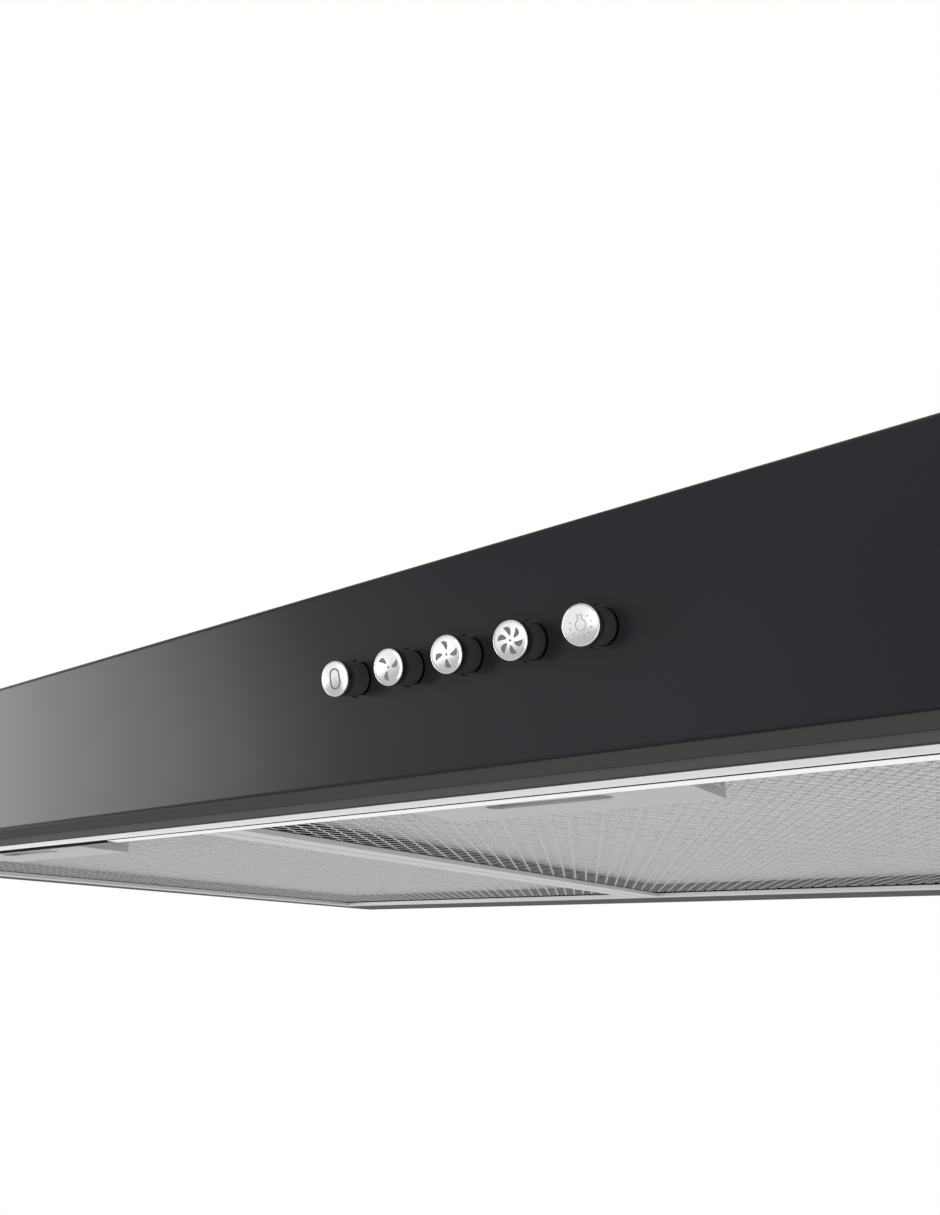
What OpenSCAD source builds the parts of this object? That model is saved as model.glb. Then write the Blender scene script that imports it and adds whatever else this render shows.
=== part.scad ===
// Under cabinet range hood with a slanted push-button front, three swing-down
// mesh filters, a light strip and a centrifugal blower that exhausts upwards.
// Millimetres. The origin is the centre of the flat top that is screwed under
// the cabinet: +X right, +Y back towards the wall, +Z up.

/* [Hood body] */
// Overall width
hood_w = 900; // [780:10:1100]
// Overall depth, from the wall to the front panel's top edge
hood_d = 480; // [420:5:600]
// Height, from the flat top to the underside of the filters
hood_h = 130; // [128:1:180]
// Depth of the flat top, which takes the cabinet
top_d = 330; // [326:2:400]
// Thickness of the steel sheet
sheet_t = 1; // [0.8:0.1:1.4]

/* [Front panel] */
// Height of the panel's face, measured along its slant
panel_h = 58.2; // [50:0.2:72]
// Slant of the panel's face from upright, top edge forward
panel_tilt = 15; // [5:1:20]
// Depth of the hem folded under the panel's lower edge
hem_d = 16; // [10:1:24]
// Length of the fold that lies on the canopy's slope
return_d = 12; // [8:1:20]
// Visible depth of the front rail behind the hem
rail_d = 13.5; // [8:0.5:24]
// How far the light trim and the filters stand below the panel's hem
rim_step = 2.2; // [1.6:0.1:4]

/* [Buttons] */
// Distance between button centres
button_pitch = 20; // [16:0.5:26]
// Distance of the buttons below the panel's top edge, along the slant
button_drop = 27.8; // [22:0.2:34]
// Place of the middle button right of the hood's centre line
button_x = 6.3; // [-120:0.1:120]
// Radius of a button's bright cap
cap_r = 5.13; // [4:0.01:6.5]
// Thickness of the cap
cap_t = 1.5; // [1.2:0.1:2.5]
// Depth of the sign pressed into the cap
sign_d = 0.2; // [0.1:0.05:0.3]
// How far a released button stands out of the panel
button_out = 9.5; // [7:0.1:12]
// Travel of a button
button_travel = 4; // [2:0.5:5]
// Side of a button's square stem
stem_w = 3.6; // [3:0.1:4.4]

/* [Light] */
// Length of the lit diffuser
light_len = 437.4; // [300:0.2:600]
// Width of the diffuser's face
light_w = 6.2; // [5:0.1:9]
// Width of the light tray
tray_w = 7.6; // [6.8:0.1:10]
// Height of the light tray
tray_h = 12; // [11:0.5:14]
// Distance between the lamps on the light strip
lamp_pitch = 16.6; // [10:0.2:30]

/* [Filters] */
// Thickness of a filter's frame
filter_t = 9; // [8.5:0.5:12]
// Width of the frame's border
border_w = 10.6; // [8:0.2:16]
// Depth of the mesh above the border's face
mesh_in = 2; // [1.5:0.1:3]
// Thickness of the filters' aluminium sheet
foil_t = 0.8; // [0.6:0.1:1]
// Width of the ledge along each side of the filters
side_ledge = 16; // [10:1:30]
// Depth of the ledge behind the filters
rear_ledge = 46; // [30:1:80]
// Width of a filter's handle plate
handle_w = 96.7; // [70:0.1:140]
// Depth of the handle plate
handle_d = 24.6; // [20:0.2:34]
// Length of the handle's finger slot
slot_len = 44; // [34:1:60]
// Width of the finger slot
slot_w = 7.2; // [6:0.2:12]
// Travel of a filter's latch
latch_travel = 3.5; // [2:0.5:4]

/* [Blower] */
// Radius of the fan wheel
wheel_r = 104; // [90:1:108]
// Height of the fan wheel
wheel_h = 62; // [50:1:64]
// Number of the wheel's blades
blade_count = 36; // [24:1:48]
// Width of the ring of blades
blade_d = 20; // [14:1:26]
// Gap between the wheel and the tongue of the scroll
tongue_gap = 9; // [6:1:14]
// How much the scroll opens over its turn
scroll_rise = 57; // [40:1:60]
// Height of the scroll housing
scroll_h = 96; // [90:1:100]
// Wall of the scroll housing
scroll_t = 2.5; // [2:0.1:3.5]
// Distance of the scroll's straight rear wall from the wall behind the hood
scroll_back = 9; // [6:1:20]
// Thickness of the wheel's sheet
wheel_t = 1.2; // [0.8:0.1:2]
// Lean of a blade's outer edge, forward of its inner edge
blade_lean = 16; // [8:1:24]
// Radius of the motor's can
motor_r = 46; // [36:1:48]
// Length of the motor's can
motor_h = 38; // [30:1:40]
// Radius of the motor's shaft
shaft_r = 4; // [3:0.5:5]

/* [Duct collar] */
// Outer radius of the collar, for a 150 duct
collar_r = 74.5; // [60:0.5:80]
// Height of the collar above the flat top
collar_h = 50; // [40:1:70]
// Wall of the collar
collar_t = 1; // [0.8:0.1:1.5]
// Radius of the rod that carries the damper flaps
rod_r = 1.5; // [1.2:0.1:2]

/* [Fixing and wiring] */
// Distance between the cabinet screws, left to right
mount_x = 800; // [640:10:1000]
// Distance between the cabinet screws, front to back
mount_y = 260; // [200:5:290]
// Radius of the cabinet screw holes
mount_r = 3; // [2:0.1:4]
// Radius of the opening for the supply cable
cable_r = 5.5; // [4:0.5:8]

/* [Clearances] */
// Gap round a filter
filter_gap = 0.5; // [0.3:0.1:1]
// Gap between the buttons and their holes
button_gap = 0.5; // [0.2:0.05:0.8]
// Gap between a part and the guide it slides in
slide_gap = 0.2; // [0.1:0.05:0.4]
// Radial gap of a running fit
run_gap = 0.05; // [0.02:0.01:0.08]

/* [Hidden] */
$fn = 96;

// Heights and depths of the body's edges
z_rim = -hood_h;
z_hem = z_rim + rim_step;
z_edge = z_hem + panel_h * cos(panel_tilt);
y_back = top_d / 2;
y_edge = y_back - hood_d;
y_toe = y_edge + panel_h * sin(panel_tilt);
y_hem = y_toe + hem_d;
y_trim = y_hem + rail_d;
inner_w = hood_w - 2 * sheet_t;
slope = atan2(-z_edge, -y_back - y_edge);
slope_dir = [cos(slope), sin(slope)];
slope_in = [sin(slope), -cos(slope)];
face_dir = [sin(panel_tilt), -cos(panel_tilt)];

// Light channel, front to back
trim_t = 0.7;
tray_t = 0.8;
y_tray = y_trim + trim_t;
y_tray_end = y_tray + tray_w;
light_seam = 2;
y_light = y_tray + light_seam;
y_light_end = y_light + light_w;
z_tray = z_rim + tray_h;
light_t = 1.2;

// Filters
y_filter = y_light_end + filter_gap / 2 + 0.1;
y_rail = y_back - rear_ledge;
y_pivot = y_rail - filter_gap;
filter_pitch = (hood_w - 2 * side_ledge) / 3;
filter_w = filter_pitch - 2 * filter_gap;
z_filter = z_rim + filter_t;
z_mesh = z_rim + mesh_in;
mesh_t = 1;
core_t = 1.2;
front_lip = 5;
tab_w = 14;
tab_t = 1.2;
tab_len = 6.3;
tab_z = z_rim + 5.5;
tab_x = filter_w / 3;
// Finger slot and latch
slot_web = 0.8;
y_slot = y_filter + slot_web + slot_w / 2;
latch_t = 1.4;
z_latch = z_filter - foil_t - core_t - slide_gap - latch_t;
tongue_w = 14;
tail_w = 10;
y_pull = y_slot + slot_w / 2 + slide_gap;
// The tongue's tip is clear of the tray once the latch is pulled
tongue_tip = y_tray_end + 0.8 - latch_travel;

// Blower: the wheel's axis and the round plenum under the collar
plenum_r = collar_r + 11.5;
collar_c = [0, y_back - scroll_back - plenum_r];
tongue_r = wheel_r + tongue_gap;
scroll_r = tongue_r + scroll_rise;
tongue_at = 395;
wheel_c = [collar_c[0] - plenum_r - tongue_r, collar_c[1] + plenum_r - scroll_r];
z_roof = -sheet_t;
z_cover = z_roof - scroll_h;
cover_t = 2;
mouth_r = 9;
mouth_t = 1.2;
mouth_flange = 6;
eye_r = wheel_r - blade_d - 4;
z_mouth = z_cover - cover_t - mouth_t + mouth_r;
z_wheel = z_mouth + 3.2;
rubber_t = 5.5;
lug_t = 3;
lug_r = 8;
z_lug = z_roof - scroll_t - rubber_t;
z_can = z_lug - lug_t - motor_h;
lug_at = motor_r + 9;
// The wheel's disc is dished round the motor, and its hub hangs below the dish
dish_gap = 4;
dish_r = motor_r + dish_gap;
z_dish = z_can - dish_gap - wheel_t;
hub_r = 12;
hub_h = 14;
z_hub = z_dish - hub_h + wheel_t;
nut_h = 6;
shaft_out = nut_h + 2;
shaft_in = 14;
vent_l = 6;

// Damper
z_rod = 22;
knuckle_r = 2.3;
flap_t = 0.8;
flap_r = collar_r - collar_t - 2;
flange_r = collar_r + 13.5;
flange_t = 1.2;
screw_ring = collar_r + 6.5;

// Wiring
cable_c = [320, 110];
capacitor_at = [190, -70];
capacitor_r = 16;
capacitor_h = 48;
driver_at = [160, -145];
driver = [74, 32, 22];
box_w = 100;
box_d = 90;
box_h = 40;
ways = 5;
way_w = 12;
block_d = 18;
block_h = 16;

// Screws
screw_r = 1.6;
head_r = 3.2;
head_t = 2;

// ---- Sheet metal: a path of the outer face, given its thickness to the left ----
function unit(v) = v / norm(v);
function left_of(v) = [-v[1], v[0]];
function turned(v, a) = [v[0] * cos(a) - v[1] * sin(a), v[0] * sin(a) + v[1] * cos(a)];
function shifted(p, t) = [for (i = [0:len(p) - 1])
    let (a = i == 0 ? unit(p[1] - p[0]) : unit(p[i] - p[i - 1]),
         b = i == len(p) - 1 ? a : unit(p[i + 1] - p[i]),
         m = unit(left_of(a) + left_of(b)))
    p[i] + m * t / (m * left_of(a))];
// Each inner corner of the path is given a bend of radius r, in k steps
function bent(p, r, k = 4) = [for (i = [0:len(p) - 1])
    each i == 0 || i == len(p) - 1 ? [p[i]] :
        let (a = unit(p[i] - p[i - 1]), b = unit(p[i + 1] - p[i]),
             turn = acos(a * b), side = sign(a[0] * b[1] - a[1] * b[0]),
             start = p[i] - a * r * tan(turn / 2), c = start + left_of(a) * r * side)
        [for (j = [0:k]) c + turned(start - c, side * turn * j / k)]];
function reversed(p) = [for (i = [len(p) - 1:-1:0]) p[i]];
module sheet(p, t) polygon(concat(p, reversed(shifted(p, t))));
// An outline in Y and Z, drawn out along X about the place x
module along_x(len, x = 0) translate([x - len / 2, 0, 0]) rotate([90, 0, 90])
    linear_extrude(len) children();
module block(x0, x1, y0, y1, z0, z1) translate([x0, y0, z0]) cube([x1 - x0, y1 - y0, z1 - z0]);
// A rectangular ring between two rectangles, each [x0, x1, y0, y1]
module ring(o, i, z0, z1) translate([0, 0, z0]) linear_extrude(z1 - z0) difference() {
    translate([o[0], o[2]]) square([o[1] - o[0], o[3] - o[2]]);
    translate([i[0], i[2]]) square([i[1] - i[0], i[3] - i[2]]);
}

// ---- Body ----
panel_bend = 1.4;
tuck = 3;
seam_d = 14;
canopy_corner = [-y_back + 2 * sheet_t / sin(slope), 0];
canopy_path = [[y_back, 0], canopy_corner, canopy_corner - seam_d * slope_dir];
slope_path = [[-y_back + sheet_t / sin(slope), 0],
    [y_edge, z_edge] + tuck * slope_dir + sheet_t * slope_in];
panel_path = [[y_edge, z_edge] + return_d * slope_dir, [y_edge, z_edge], [y_toe, z_hem], [y_hem, z_hem]];

// The flat top, with a flange along its front that carries the slope
module canopy() color("dimgray") difference() {
    along_x(hood_w) sheet(bent(canopy_path, 3, 6), sheet_t);
    translate([collar_c[0], collar_c[1], -5]) cylinder(h = 10, r = collar_r - collar_t);
    for (x = [-1, 1], y = [-1, 1])
        translate([x * mount_x / 2, y * mount_y / 2, -5]) cylinder(h = 10, r = mount_r);
    translate([cable_c[0], cable_c[1], -5]) cylinder(h = 10, r = cable_r + 4);
    collar_screw_places() translate([0, 0, -5]) cylinder(h = 10, r = screw_r);
}

// The slope lies on the top's flange, and its lower edge in the panel's fold
module canopy_slope() color("dimgray") along_x(hood_w) sheet(slope_path, sheet_t);

// The side's edge follows the inner faces of the top, the slope and the front panel
side_path = let (c = shifted(canopy_path, sheet_t), p = shifted(panel_path, sheet_t))
    [[y_back, z_rim], [y_back, -sheet_t], c[1], c[2], canopy_path[2], shifted(slope_path, sheet_t)[1],
     p[1] + tuck * face_dir, p[2],
     [y_trim, z_hem + sheet_t], [y_trim, z_rim]];
module side(s) color("dimgray") {
    along_x(sheet_t, s * (hood_w - sheet_t) / 2) polygon(side_path);
    x = s * (inner_w / 2 - (side_ledge - sheet_t) / 2);
    translate([x, (y_filter + y_rail) / 2, z_rim + sheet_t / 2])
        cube([side_ledge - sheet_t, y_rail - y_filter, sheet_t], center = true);
}

module back_panel() color("dimgray")
    block(-inner_w / 2, inner_w / 2, y_back - sheet_t, y_back, z_rim, -sheet_t);

// Places of the buttons: X right, Y up the panel, Z out of it
module on_panel() translate([button_x, y_edge, z_edge] + button_drop * [0, face_dir[0], face_dir[1]])
    rotate([90 + panel_tilt, 0, 0]) children();
module button_place(i) on_panel() translate([(i - 2) * button_pitch, 0, 0]) children();

module front_panel() color([0.2, 0.2, 0.22]) difference() {
    along_x(hood_w) sheet(bent(panel_path, panel_bend), sheet_t);
    for (i = [0:4]) button_place(i) translate([0, 0, -5]) cylinder(h = 10, r = cap_r + button_gap);
}

// Joggled over the hem, then turned up to carry the light trim
module front_rail() color("dimgray") {
    top = z_hem + sheet_t;
    along_x(inner_w) sheet([[y_toe + 3, top], [y_hem + 0.2, top], [y_hem + 1.4, z_hem],
        [y_trim, z_hem], [y_trim, z_tray]], sheet_t);
}

// A channel behind the filters, with slots for their rear tabs
module rear_rail() color("dimgray") difference() {
    front_h = 18;
    back_h = 14;
    along_x(inner_w) sheet([[y_rail, z_rim + front_h], [y_rail, z_rim],
        [y_back - sheet_t, z_rim], [y_back - sheet_t, z_rim + back_h]], sheet_t);
    for (i = [-1:1], s = [-1, 1]) translate([i * filter_pitch + s * tab_x, y_rail, 0])
        block(-tab_w / 2 - 1, tab_w / 2 + 1, -1, sheet_t + 1, tab_z - 0.6, tab_z + 6);
}

// ---- Light ----
module light_trim() color("silver") along_x(inner_w)
    sheet([[y_trim, z_rim], [y_trim, z_tray + trim_t], [y_trim + 5, z_tray + trim_t]], -trim_t);

// Its front wall ends in a lip that closes the seam beside the diffuser
module light_tray() color([0.08, 0.08, 0.08]) difference() {
    along_x(inner_w) sheet([[y_light - slide_gap, z_rim], [y_tray, z_rim], [y_tray, z_tray],
        [y_tray_end, z_tray], [y_tray_end, z_rim + light_t + slide_gap]], -tray_t);
    for (i = [-1:1]) translate([i * filter_pitch, y_tray_end, z_latch])
        block(-tongue_w / 2 - 1, tongue_w / 2 + 1, -2, 2, -slide_gap * 2, latch_t + slide_gap * 2);
}

module led_strip() color("ivory") {
    strip_w = 4.8;
    strip_t = 1;
    strip_end = 4;
    lamp = [3.5, 2.8, 0.8];
    roof = z_tray - tray_t;
    y = (y_tray + y_tray_end) / 2;
    x = light_len / 2 - strip_end;
    block(-x, x, y - strip_w / 2, y + strip_w / 2, roof - strip_t, roof);
    n = floor((x - lamp[0]) / lamp_pitch);
    for (i = [-n:n]) translate([i * lamp_pitch, y, roof - strip_t - lamp[2] / 2]) cube(lamp, center = true);
}

// A flat bar with two legs that are pushed up between the tray's walls
module light_diffuser() color("white") {
    leg_h = z_latch - z_rim - 2 * slide_gap;
    leg_t = 0.8;
    y_leg = y_tray_end - tray_t - slide_gap;
    along_x(light_len) {
        translate([y_light, z_rim]) square([light_w, light_t]);
        translate([y_light, z_rim]) square([leg_t, leg_h]);
        translate([y_leg - leg_t, z_rim]) square([leg_t, leg_h]);
    }
}

// ---- Buttons ----
// The switch bank and its bracket, measured back from the panel's face
bank_front = 14;
bank_d = 22;
bank_h = 16;
bank_w = 4 * button_pitch + 24;
bank_wall = 2;
bracket_t = 1.2;
barrel_end = bank_front - bracket_t - button_travel - 0.8;
stem_end = bank_front + bank_d - bank_wall - button_travel - 1;
stem_hole = stem_w + 2 * slide_gap;
module switch_housing() color([0.12, 0.12, 0.12]) on_panel() difference() {
    union() {
        translate([-bank_w / 2, -bank_h / 2, -bank_front - bank_d]) cube([bank_w, bank_h, bank_d]);
        for (i = [-2:2]) translate([i * button_pitch - 3, -2, -bank_front - bank_d - 7]) {
            cube([0.8, 4, 7]);
            translate([5.2, 0, 0]) cube([0.8, 4, 7]);
        }
    }
    for (i = [-2:2]) translate([i * button_pitch, 0, -bank_front - bank_d / 2 + bank_wall])
        cube([stem_hole, stem_hole, bank_d], center = true);
}

module switch_bracket() color("silver") on_panel() difference() {
    side_gap = 8;
    rim = 3;
    foot_w = 10;
    foot = sheet_t + bracket_t;
    w = bank_w / 2 + side_gap;
    translate([0, -bank_h / 2 - rim, 0]) rotate([-90, 0, 0]) linear_extrude(bank_h + 2 * rim)
        sheet([[-w - foot_w, foot], [-w, foot], [-w, bank_front], [w, bank_front],
            [w, foot], [w + foot_w, foot]], -bracket_t);
    for (i = [-2:2]) translate([i * button_pitch, 0, -bank_front - 2])
        cylinder(h = bracket_t + 4, r = stem_w);
}

// A barrel with a collar that stops it behind the panel, and a square stem into the bank
module button_barrel(i) color([0.1, 0.1, 0.11]) button_place(i) {
    cap_step = 0.08;
    stop_t = 1.1;
    r = cap_r - cap_step;
    stop_r = cap_r + button_gap + 0.9;
    stop_front = -sheet_t - slide_gap;
    stop_back = stop_front - stop_t;
    rotate_extrude() polygon([[0, button_out - cap_t], [r, button_out - cap_t],
        [r, stop_front], [stop_r, stop_front], [stop_r, stop_back], [r, stop_back],
        [r, -barrel_end], [0, -barrel_end]]);
    translate([-stem_w / 2, -stem_w / 2, -stem_end]) cube([stem_w, stem_w, stem_end - barrel_end]);
}

// Signs on the caps, drawn about the cap's centre with Y up
sign_line = 0.5;
module slot(w, h) {
    square([w, h - w], center = true);
    for (s = [-1, 1]) translate([0, s * (h - w) / 2]) circle(w / 2);
}
module nought() difference() {
    slot(0.76 * cap_r, 1.2 * cap_r);
    slot(0.76 * cap_r - 2 * sign_line, 1.2 * cap_r - 2 * sign_line);
}
// Blades with a radial leading edge, each 30 degrees wide at its curved tip
module fan_sign(count, first) {
    circle(0.07 * cap_r);
    for (k = [0:count - 1]) rotate(first + k * 360 / count)
        polygon(concat([[0.24 * cap_r, 0]],
            [for (u = [0:0.25:1]) cap_r * (0.64 + 0.1 * u) * [cos(30 * u - 4), sin(30 * u - 4)]]));
}
// A lamp that hangs from its neck, with rays round its globe
module lamp_sign() {
    globe = 0.29 * cap_r;
    neck = 0.26 * cap_r;
    line = sign_line / 2;
    difference() {
        union() {
            circle(globe);
            translate([-neck / 2, 0]) square([neck, 0.5 * cap_r]);
        }
        circle(globe - line);
        translate([-neck / 2 + line, 0]) square([neck - 2 * line, 0.5 * cap_r - line]);
    }
    for (a = [-200:30:40]) rotate(a) translate([0.5 * cap_r, -line / 2]) square([0.12 * cap_r, line]);
}
module sign_of(i) {
    if (i == 0) nought();
    if (i == 1) fan_sign(3, 7);
    if (i == 2) fan_sign(4, 3);
    if (i == 3) fan_sign(6, -18);
    if (i == 4) lamp_sign();
}

// A spun cap: a rounded rim round a shallow dish, with the sign pressed into it
module button_cap(i) color("gainsboro") button_place(i) translate([0, 0, button_out - cap_t])
    difference() {
        rim = 0.3;
        rim_w = 0.45;
        dish = 0.15;
        r = cap_r - rim_w;
        rotate_extrude() polygon(concat([[0, 0], [cap_r, 0]],
            [for (a = [0:15:90]) [cap_r - rim + rim * cos(a), cap_t - rim + rim * sin(a)]],
            [for (u = [1:-0.125:0]) [r * u, cap_t - 0.08 - dish * (1 - u * u)]]));
        translate([0, 0, cap_t - 0.08 - dish - sign_d]) linear_extrude(cap_t) sign_of(i);
    }

// ---- Filters ----
module at_filter(i) translate([i * filter_pitch, 0, 0]) children();
// The space that the handle takes out of the frame, grown by a gap
module handle_space(gap, z0, z1)
    block(-handle_w / 2 - gap, handle_w / 2 + gap, y_filter - 1, y_filter + handle_d + gap, z0, z1);

module filter_frame(i) color("silver") at_filter(i) {
    h = filter_w / 2;
    o = [-h, h, y_filter, y_pivot];
    f = foil_t;
    top_w = 6;
    difference() {
        union() {
            // Bottom face of the sides and the rear, and the lip that the mesh lies on
            ring(o, [-h + border_w, h - border_w, y_filter - 1, y_pivot - border_w], z_rim, z_rim + f);
            ring([-h + border_w - f, h - border_w + f, y_filter, y_pivot - border_w + f],
                 [-h + border_w, h - border_w, y_filter - 1, y_pivot - border_w], z_rim, z_mesh);
            // Outer wall, and the flange that holds the core down
            ring(o, [-h + f, h - f, y_filter + f, y_pivot - f], z_rim, z_filter);
            ring(o, [-h + top_w, h - top_w, y_filter + top_w, y_pivot - top_w], z_filter - f, z_filter);
            // Narrow lip along the front
            block(-h, h, y_filter, y_filter + front_lip, z_mesh - f, z_mesh);
        }
        block(-h + border_w, h - border_w, y_filter - 1, y_filter + 2 * f, z_rim - 1, z_mesh - f);
        handle_space(0, z_rim - 1, z_filter - f);
    }
    for (s = [-1, 1]) block(s * tab_x - tab_w / 2, s * tab_x + tab_w / 2,
        y_pivot - f, y_pivot + tab_len, tab_z, tab_z + tab_t);
}

module filter_sheet(z, t, gap) difference() {
    h = filter_w / 2 - foil_t - gap;
    block(-h, h, y_filter + foil_t + gap, y_pivot - foil_t - gap, z, z + t);
    handle_space(0.3, z - 1, z + t + 1);
}
module filter_mesh(i) color("gainsboro") at_filter(i) filter_sheet(z_mesh, mesh_t, 0.2);
module filter_core(i) color("darkgray") at_filter(i) filter_sheet(z_filter - foil_t - core_t, core_t, 0.2);

// A pressed box, open above, with the finger slot in its floor
module filter_handle(i) color("silver") at_filter(i) difference() {
    f = foil_t;
    block(-handle_w / 2, handle_w / 2, y_filter, y_filter + handle_d, z_rim, z_filter - f);
    block(-handle_w / 2 + f, handle_w / 2 - f, y_filter + f, y_filter + handle_d - f, z_rim + f, z_filter);
    for (s = [-1, 1]) translate([s * (slot_len - slot_w) / 2, y_slot, z_rim - 1])
        cylinder(h = 3, r = slot_w / 2);
    block(-(slot_len - slot_w) / 2, (slot_len - slot_w) / 2, y_slot - slot_w / 2, y_slot + slot_w / 2,
        z_rim - 1, z_rim + 2);
    block(-tongue_w / 2 - slide_gap, tongue_w / 2 + slide_gap, y_filter - 1, y_filter + 2,
        z_latch - slide_gap, z_latch + latch_t + slide_gap);
    block(-tail_w / 2 - slide_gap, tail_w / 2 + slide_gap, y_filter + handle_d - 2, y_filter + handle_d + 1,
        z_latch - slide_gap, z_latch + latch_t + slide_gap);
}

// A flat slide with a tongue in front, a finger lip and a tail that guides it
module filter_latch(i) color([0.55, 0.55, 0.55]) at_filter(i) {
    z1 = z_latch + latch_t;
    slide_w = 60;
    slide_d = 8;
    lip_t = 1.2;
    lip_w = slot_len - 8;
    block(-slide_w / 2, slide_w / 2, y_pull, y_pull + slide_d, z_latch, z1);
    block(-lip_w / 2, lip_w / 2, y_pull, y_pull + lip_t, z_rim + foil_t + 2 * slide_gap, z1);
    block(-tongue_w / 2, tongue_w / 2, tongue_tip, y_pull + 1, z_latch, z1);
    block(-tail_w / 2, tail_w / 2, y_pull + slide_d - 1, y_filter + handle_d + 1.5, z_latch, z1);
}

// ---- Blower ----
// The scroll's outline, drawn in by g from its outer face: the spiral, the slant
// from its tongue to the plenum, the plenum's arc, and the straight rear wall
function scroll_at(a, g) =
    wheel_c + (scroll_r - scroll_rise * (a - 90) / (tongue_at - 90) - g) * [cos(a), sin(a)];
function scroll_path(g) =
    let (p = scroll_at(tongue_at, g), v = collar_c - p, r = plenum_r - g,
         a0 = atan2(v[1], v[0]) - asin(r / norm(v)) - 90 + 360)
    concat([for (a = [90:5:tongue_at]) scroll_at(a, g)],
           [for (k = [0:40]) collar_c + r * (let (a = a0 + (450 - a0) * k / 40) [cos(a), sin(a)])]);
boss_r = 5;
boss_out = 4.5;
boss_at = [100, 150, 205, 260, 315];
module boss_places() {
    for (a = boss_at) translate(scroll_at(a, -boss_out)) children();
    for (a = [-45, 30]) translate(collar_c + (plenum_r + boss_out) * [cos(a), sin(a)]) children();
}
module collar_screw_places() for (a = [45:90:315])
    translate([collar_c[0], collar_c[1], 0]) rotate(a) translate([screw_ring, 0, 0]) children();

module scroll_housing() color([0.25, 0.25, 0.27]) difference() {
    translate([0, 0, z_cover]) union() {
        linear_extrude(scroll_h) polygon(scroll_path(0));
        boss_places() cylinder(h = scroll_h, r = boss_r, $fn = 32);
    }
    translate([0, 0, z_cover - 1]) linear_extrude(scroll_h - scroll_t + 1) polygon(scroll_path(scroll_t));
    translate([collar_c[0], collar_c[1], -scroll_h / 2]) cylinder(h = scroll_h, r = collar_r - collar_t);
    boss_places() translate([0, 0, z_cover - 1]) cylinder(h = 15, r = screw_r, $fn = 24);
    collar_screw_places() translate([0, 0, -8]) cylinder(h = 10, r = screw_r);
}

// The floor of the scroll, with a round opening for the inlet mouth
module inlet_cover() color("silver") translate([0, 0, z_cover - cover_t]) difference() {
    union() {
        linear_extrude(cover_t) polygon(scroll_path(0));
        boss_places() cylinder(h = cover_t, r = boss_r, $fn = 32);
    }
    translate([wheel_c[0], wheel_c[1], -1]) cylinder(h = cover_t + 2, r = eye_r + mouth_r);
    boss_places() translate([0, 0, -1]) cylinder(h = cover_t + 2, r = screw_r, $fn = 24);
}

// A ring under the cover, rolled up into a mouth that leads air to the wheel's eye
module inlet_mouth() color("silver") translate([wheel_c[0], wheel_c[1], z_mouth]) {
    inner = mouth_r - mouth_t;
    rim_r = eye_r + mouth_r;
    rotate_extrude() polygon(concat([[rim_r + mouth_flange, -inner], [rim_r + mouth_flange, -mouth_r]],
        [for (a = [270:-10:180]) [rim_r + mouth_r * cos(a), mouth_r * sin(a)]],
        [for (a = [180:10:270]) [rim_r + inner * cos(a), inner * sin(a)]]));
}

// A screw whose shank stands up from z = 0, with a cross in the head below it
module screw(shank) difference() {
    union() {
        cylinder(h = shank, r = screw_r, $fn = 24);
        translate([0, 0, -head_t]) cylinder(h = head_t, r = head_r, $fn = 32);
    }
    for (a = [0, 90]) translate([0, 0, -head_t]) rotate(a) cube([1.3 * head_r, 0.8, head_t], center = true);
}
module cover_screws() color("silver") boss_places() translate([0, 0, z_cover - cover_t]) screw(12);

module at_wheel(z) translate([wheel_c[0], wheel_c[1], z]) children();
module fan_wheel() color("silver") at_wheel(0) {
    top = z_wheel + wheel_h;
    rotate_extrude() polygon([[wheel_r, top], [wheel_r, top - wheel_t], [dish_r + wheel_t, top - wheel_t],
        [dish_r + wheel_t, z_dish], [hub_r, z_dish], [hub_r, z_hub], [shaft_r, z_hub],
        [shaft_r, z_dish + wheel_t], [dish_r, z_dish + wheel_t], [dish_r, top]]);
}

// A blade is a strip between two arcs, from its inner edge out to the disc's rim
blade_t = 1.2;
blade_rim = 0.6;
function blade_point(u, t) =
    let (r = wheel_r - blade_rim - (blade_d - 2 * blade_rim) * (1 - u), lean = blade_lean * pow(1 - u, 2))
    r * [cos(lean), sin(lean)] + t / 2 * [sin(lean), -cos(lean)];
blade_path = concat([for (k = [0:6]) blade_point(k / 6, blade_t)],
    [for (k = [6:-1:0]) blade_point(k / 6, -blade_t)]);
module fan_blades() color("silver") at_wheel(z_wheel + wheel_t)
    for (k = [0:blade_count - 1]) rotate(k * 360 / blade_count)
        linear_extrude(wheel_h - 2 * wheel_t) polygon(blade_path);

module fan_ring() color("silver") at_wheel(z_wheel)
    rotate_extrude() translate([wheel_r - blade_d, 0]) square([blade_d, wheel_t]);

module motor_shaft() color("silver") at_wheel(z_hub - shaft_out)
    cylinder(h = z_can + shaft_in - z_hub + shaft_out, r = shaft_r);

module wheel_nut() color("silver") at_wheel(z_hub - nut_h) difference() {
    cylinder(h = nut_h, r = 7.5, $fn = 6);
    translate([0, 0, -1]) cylinder(h = nut_h + 2, r = shaft_r);
}

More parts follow.
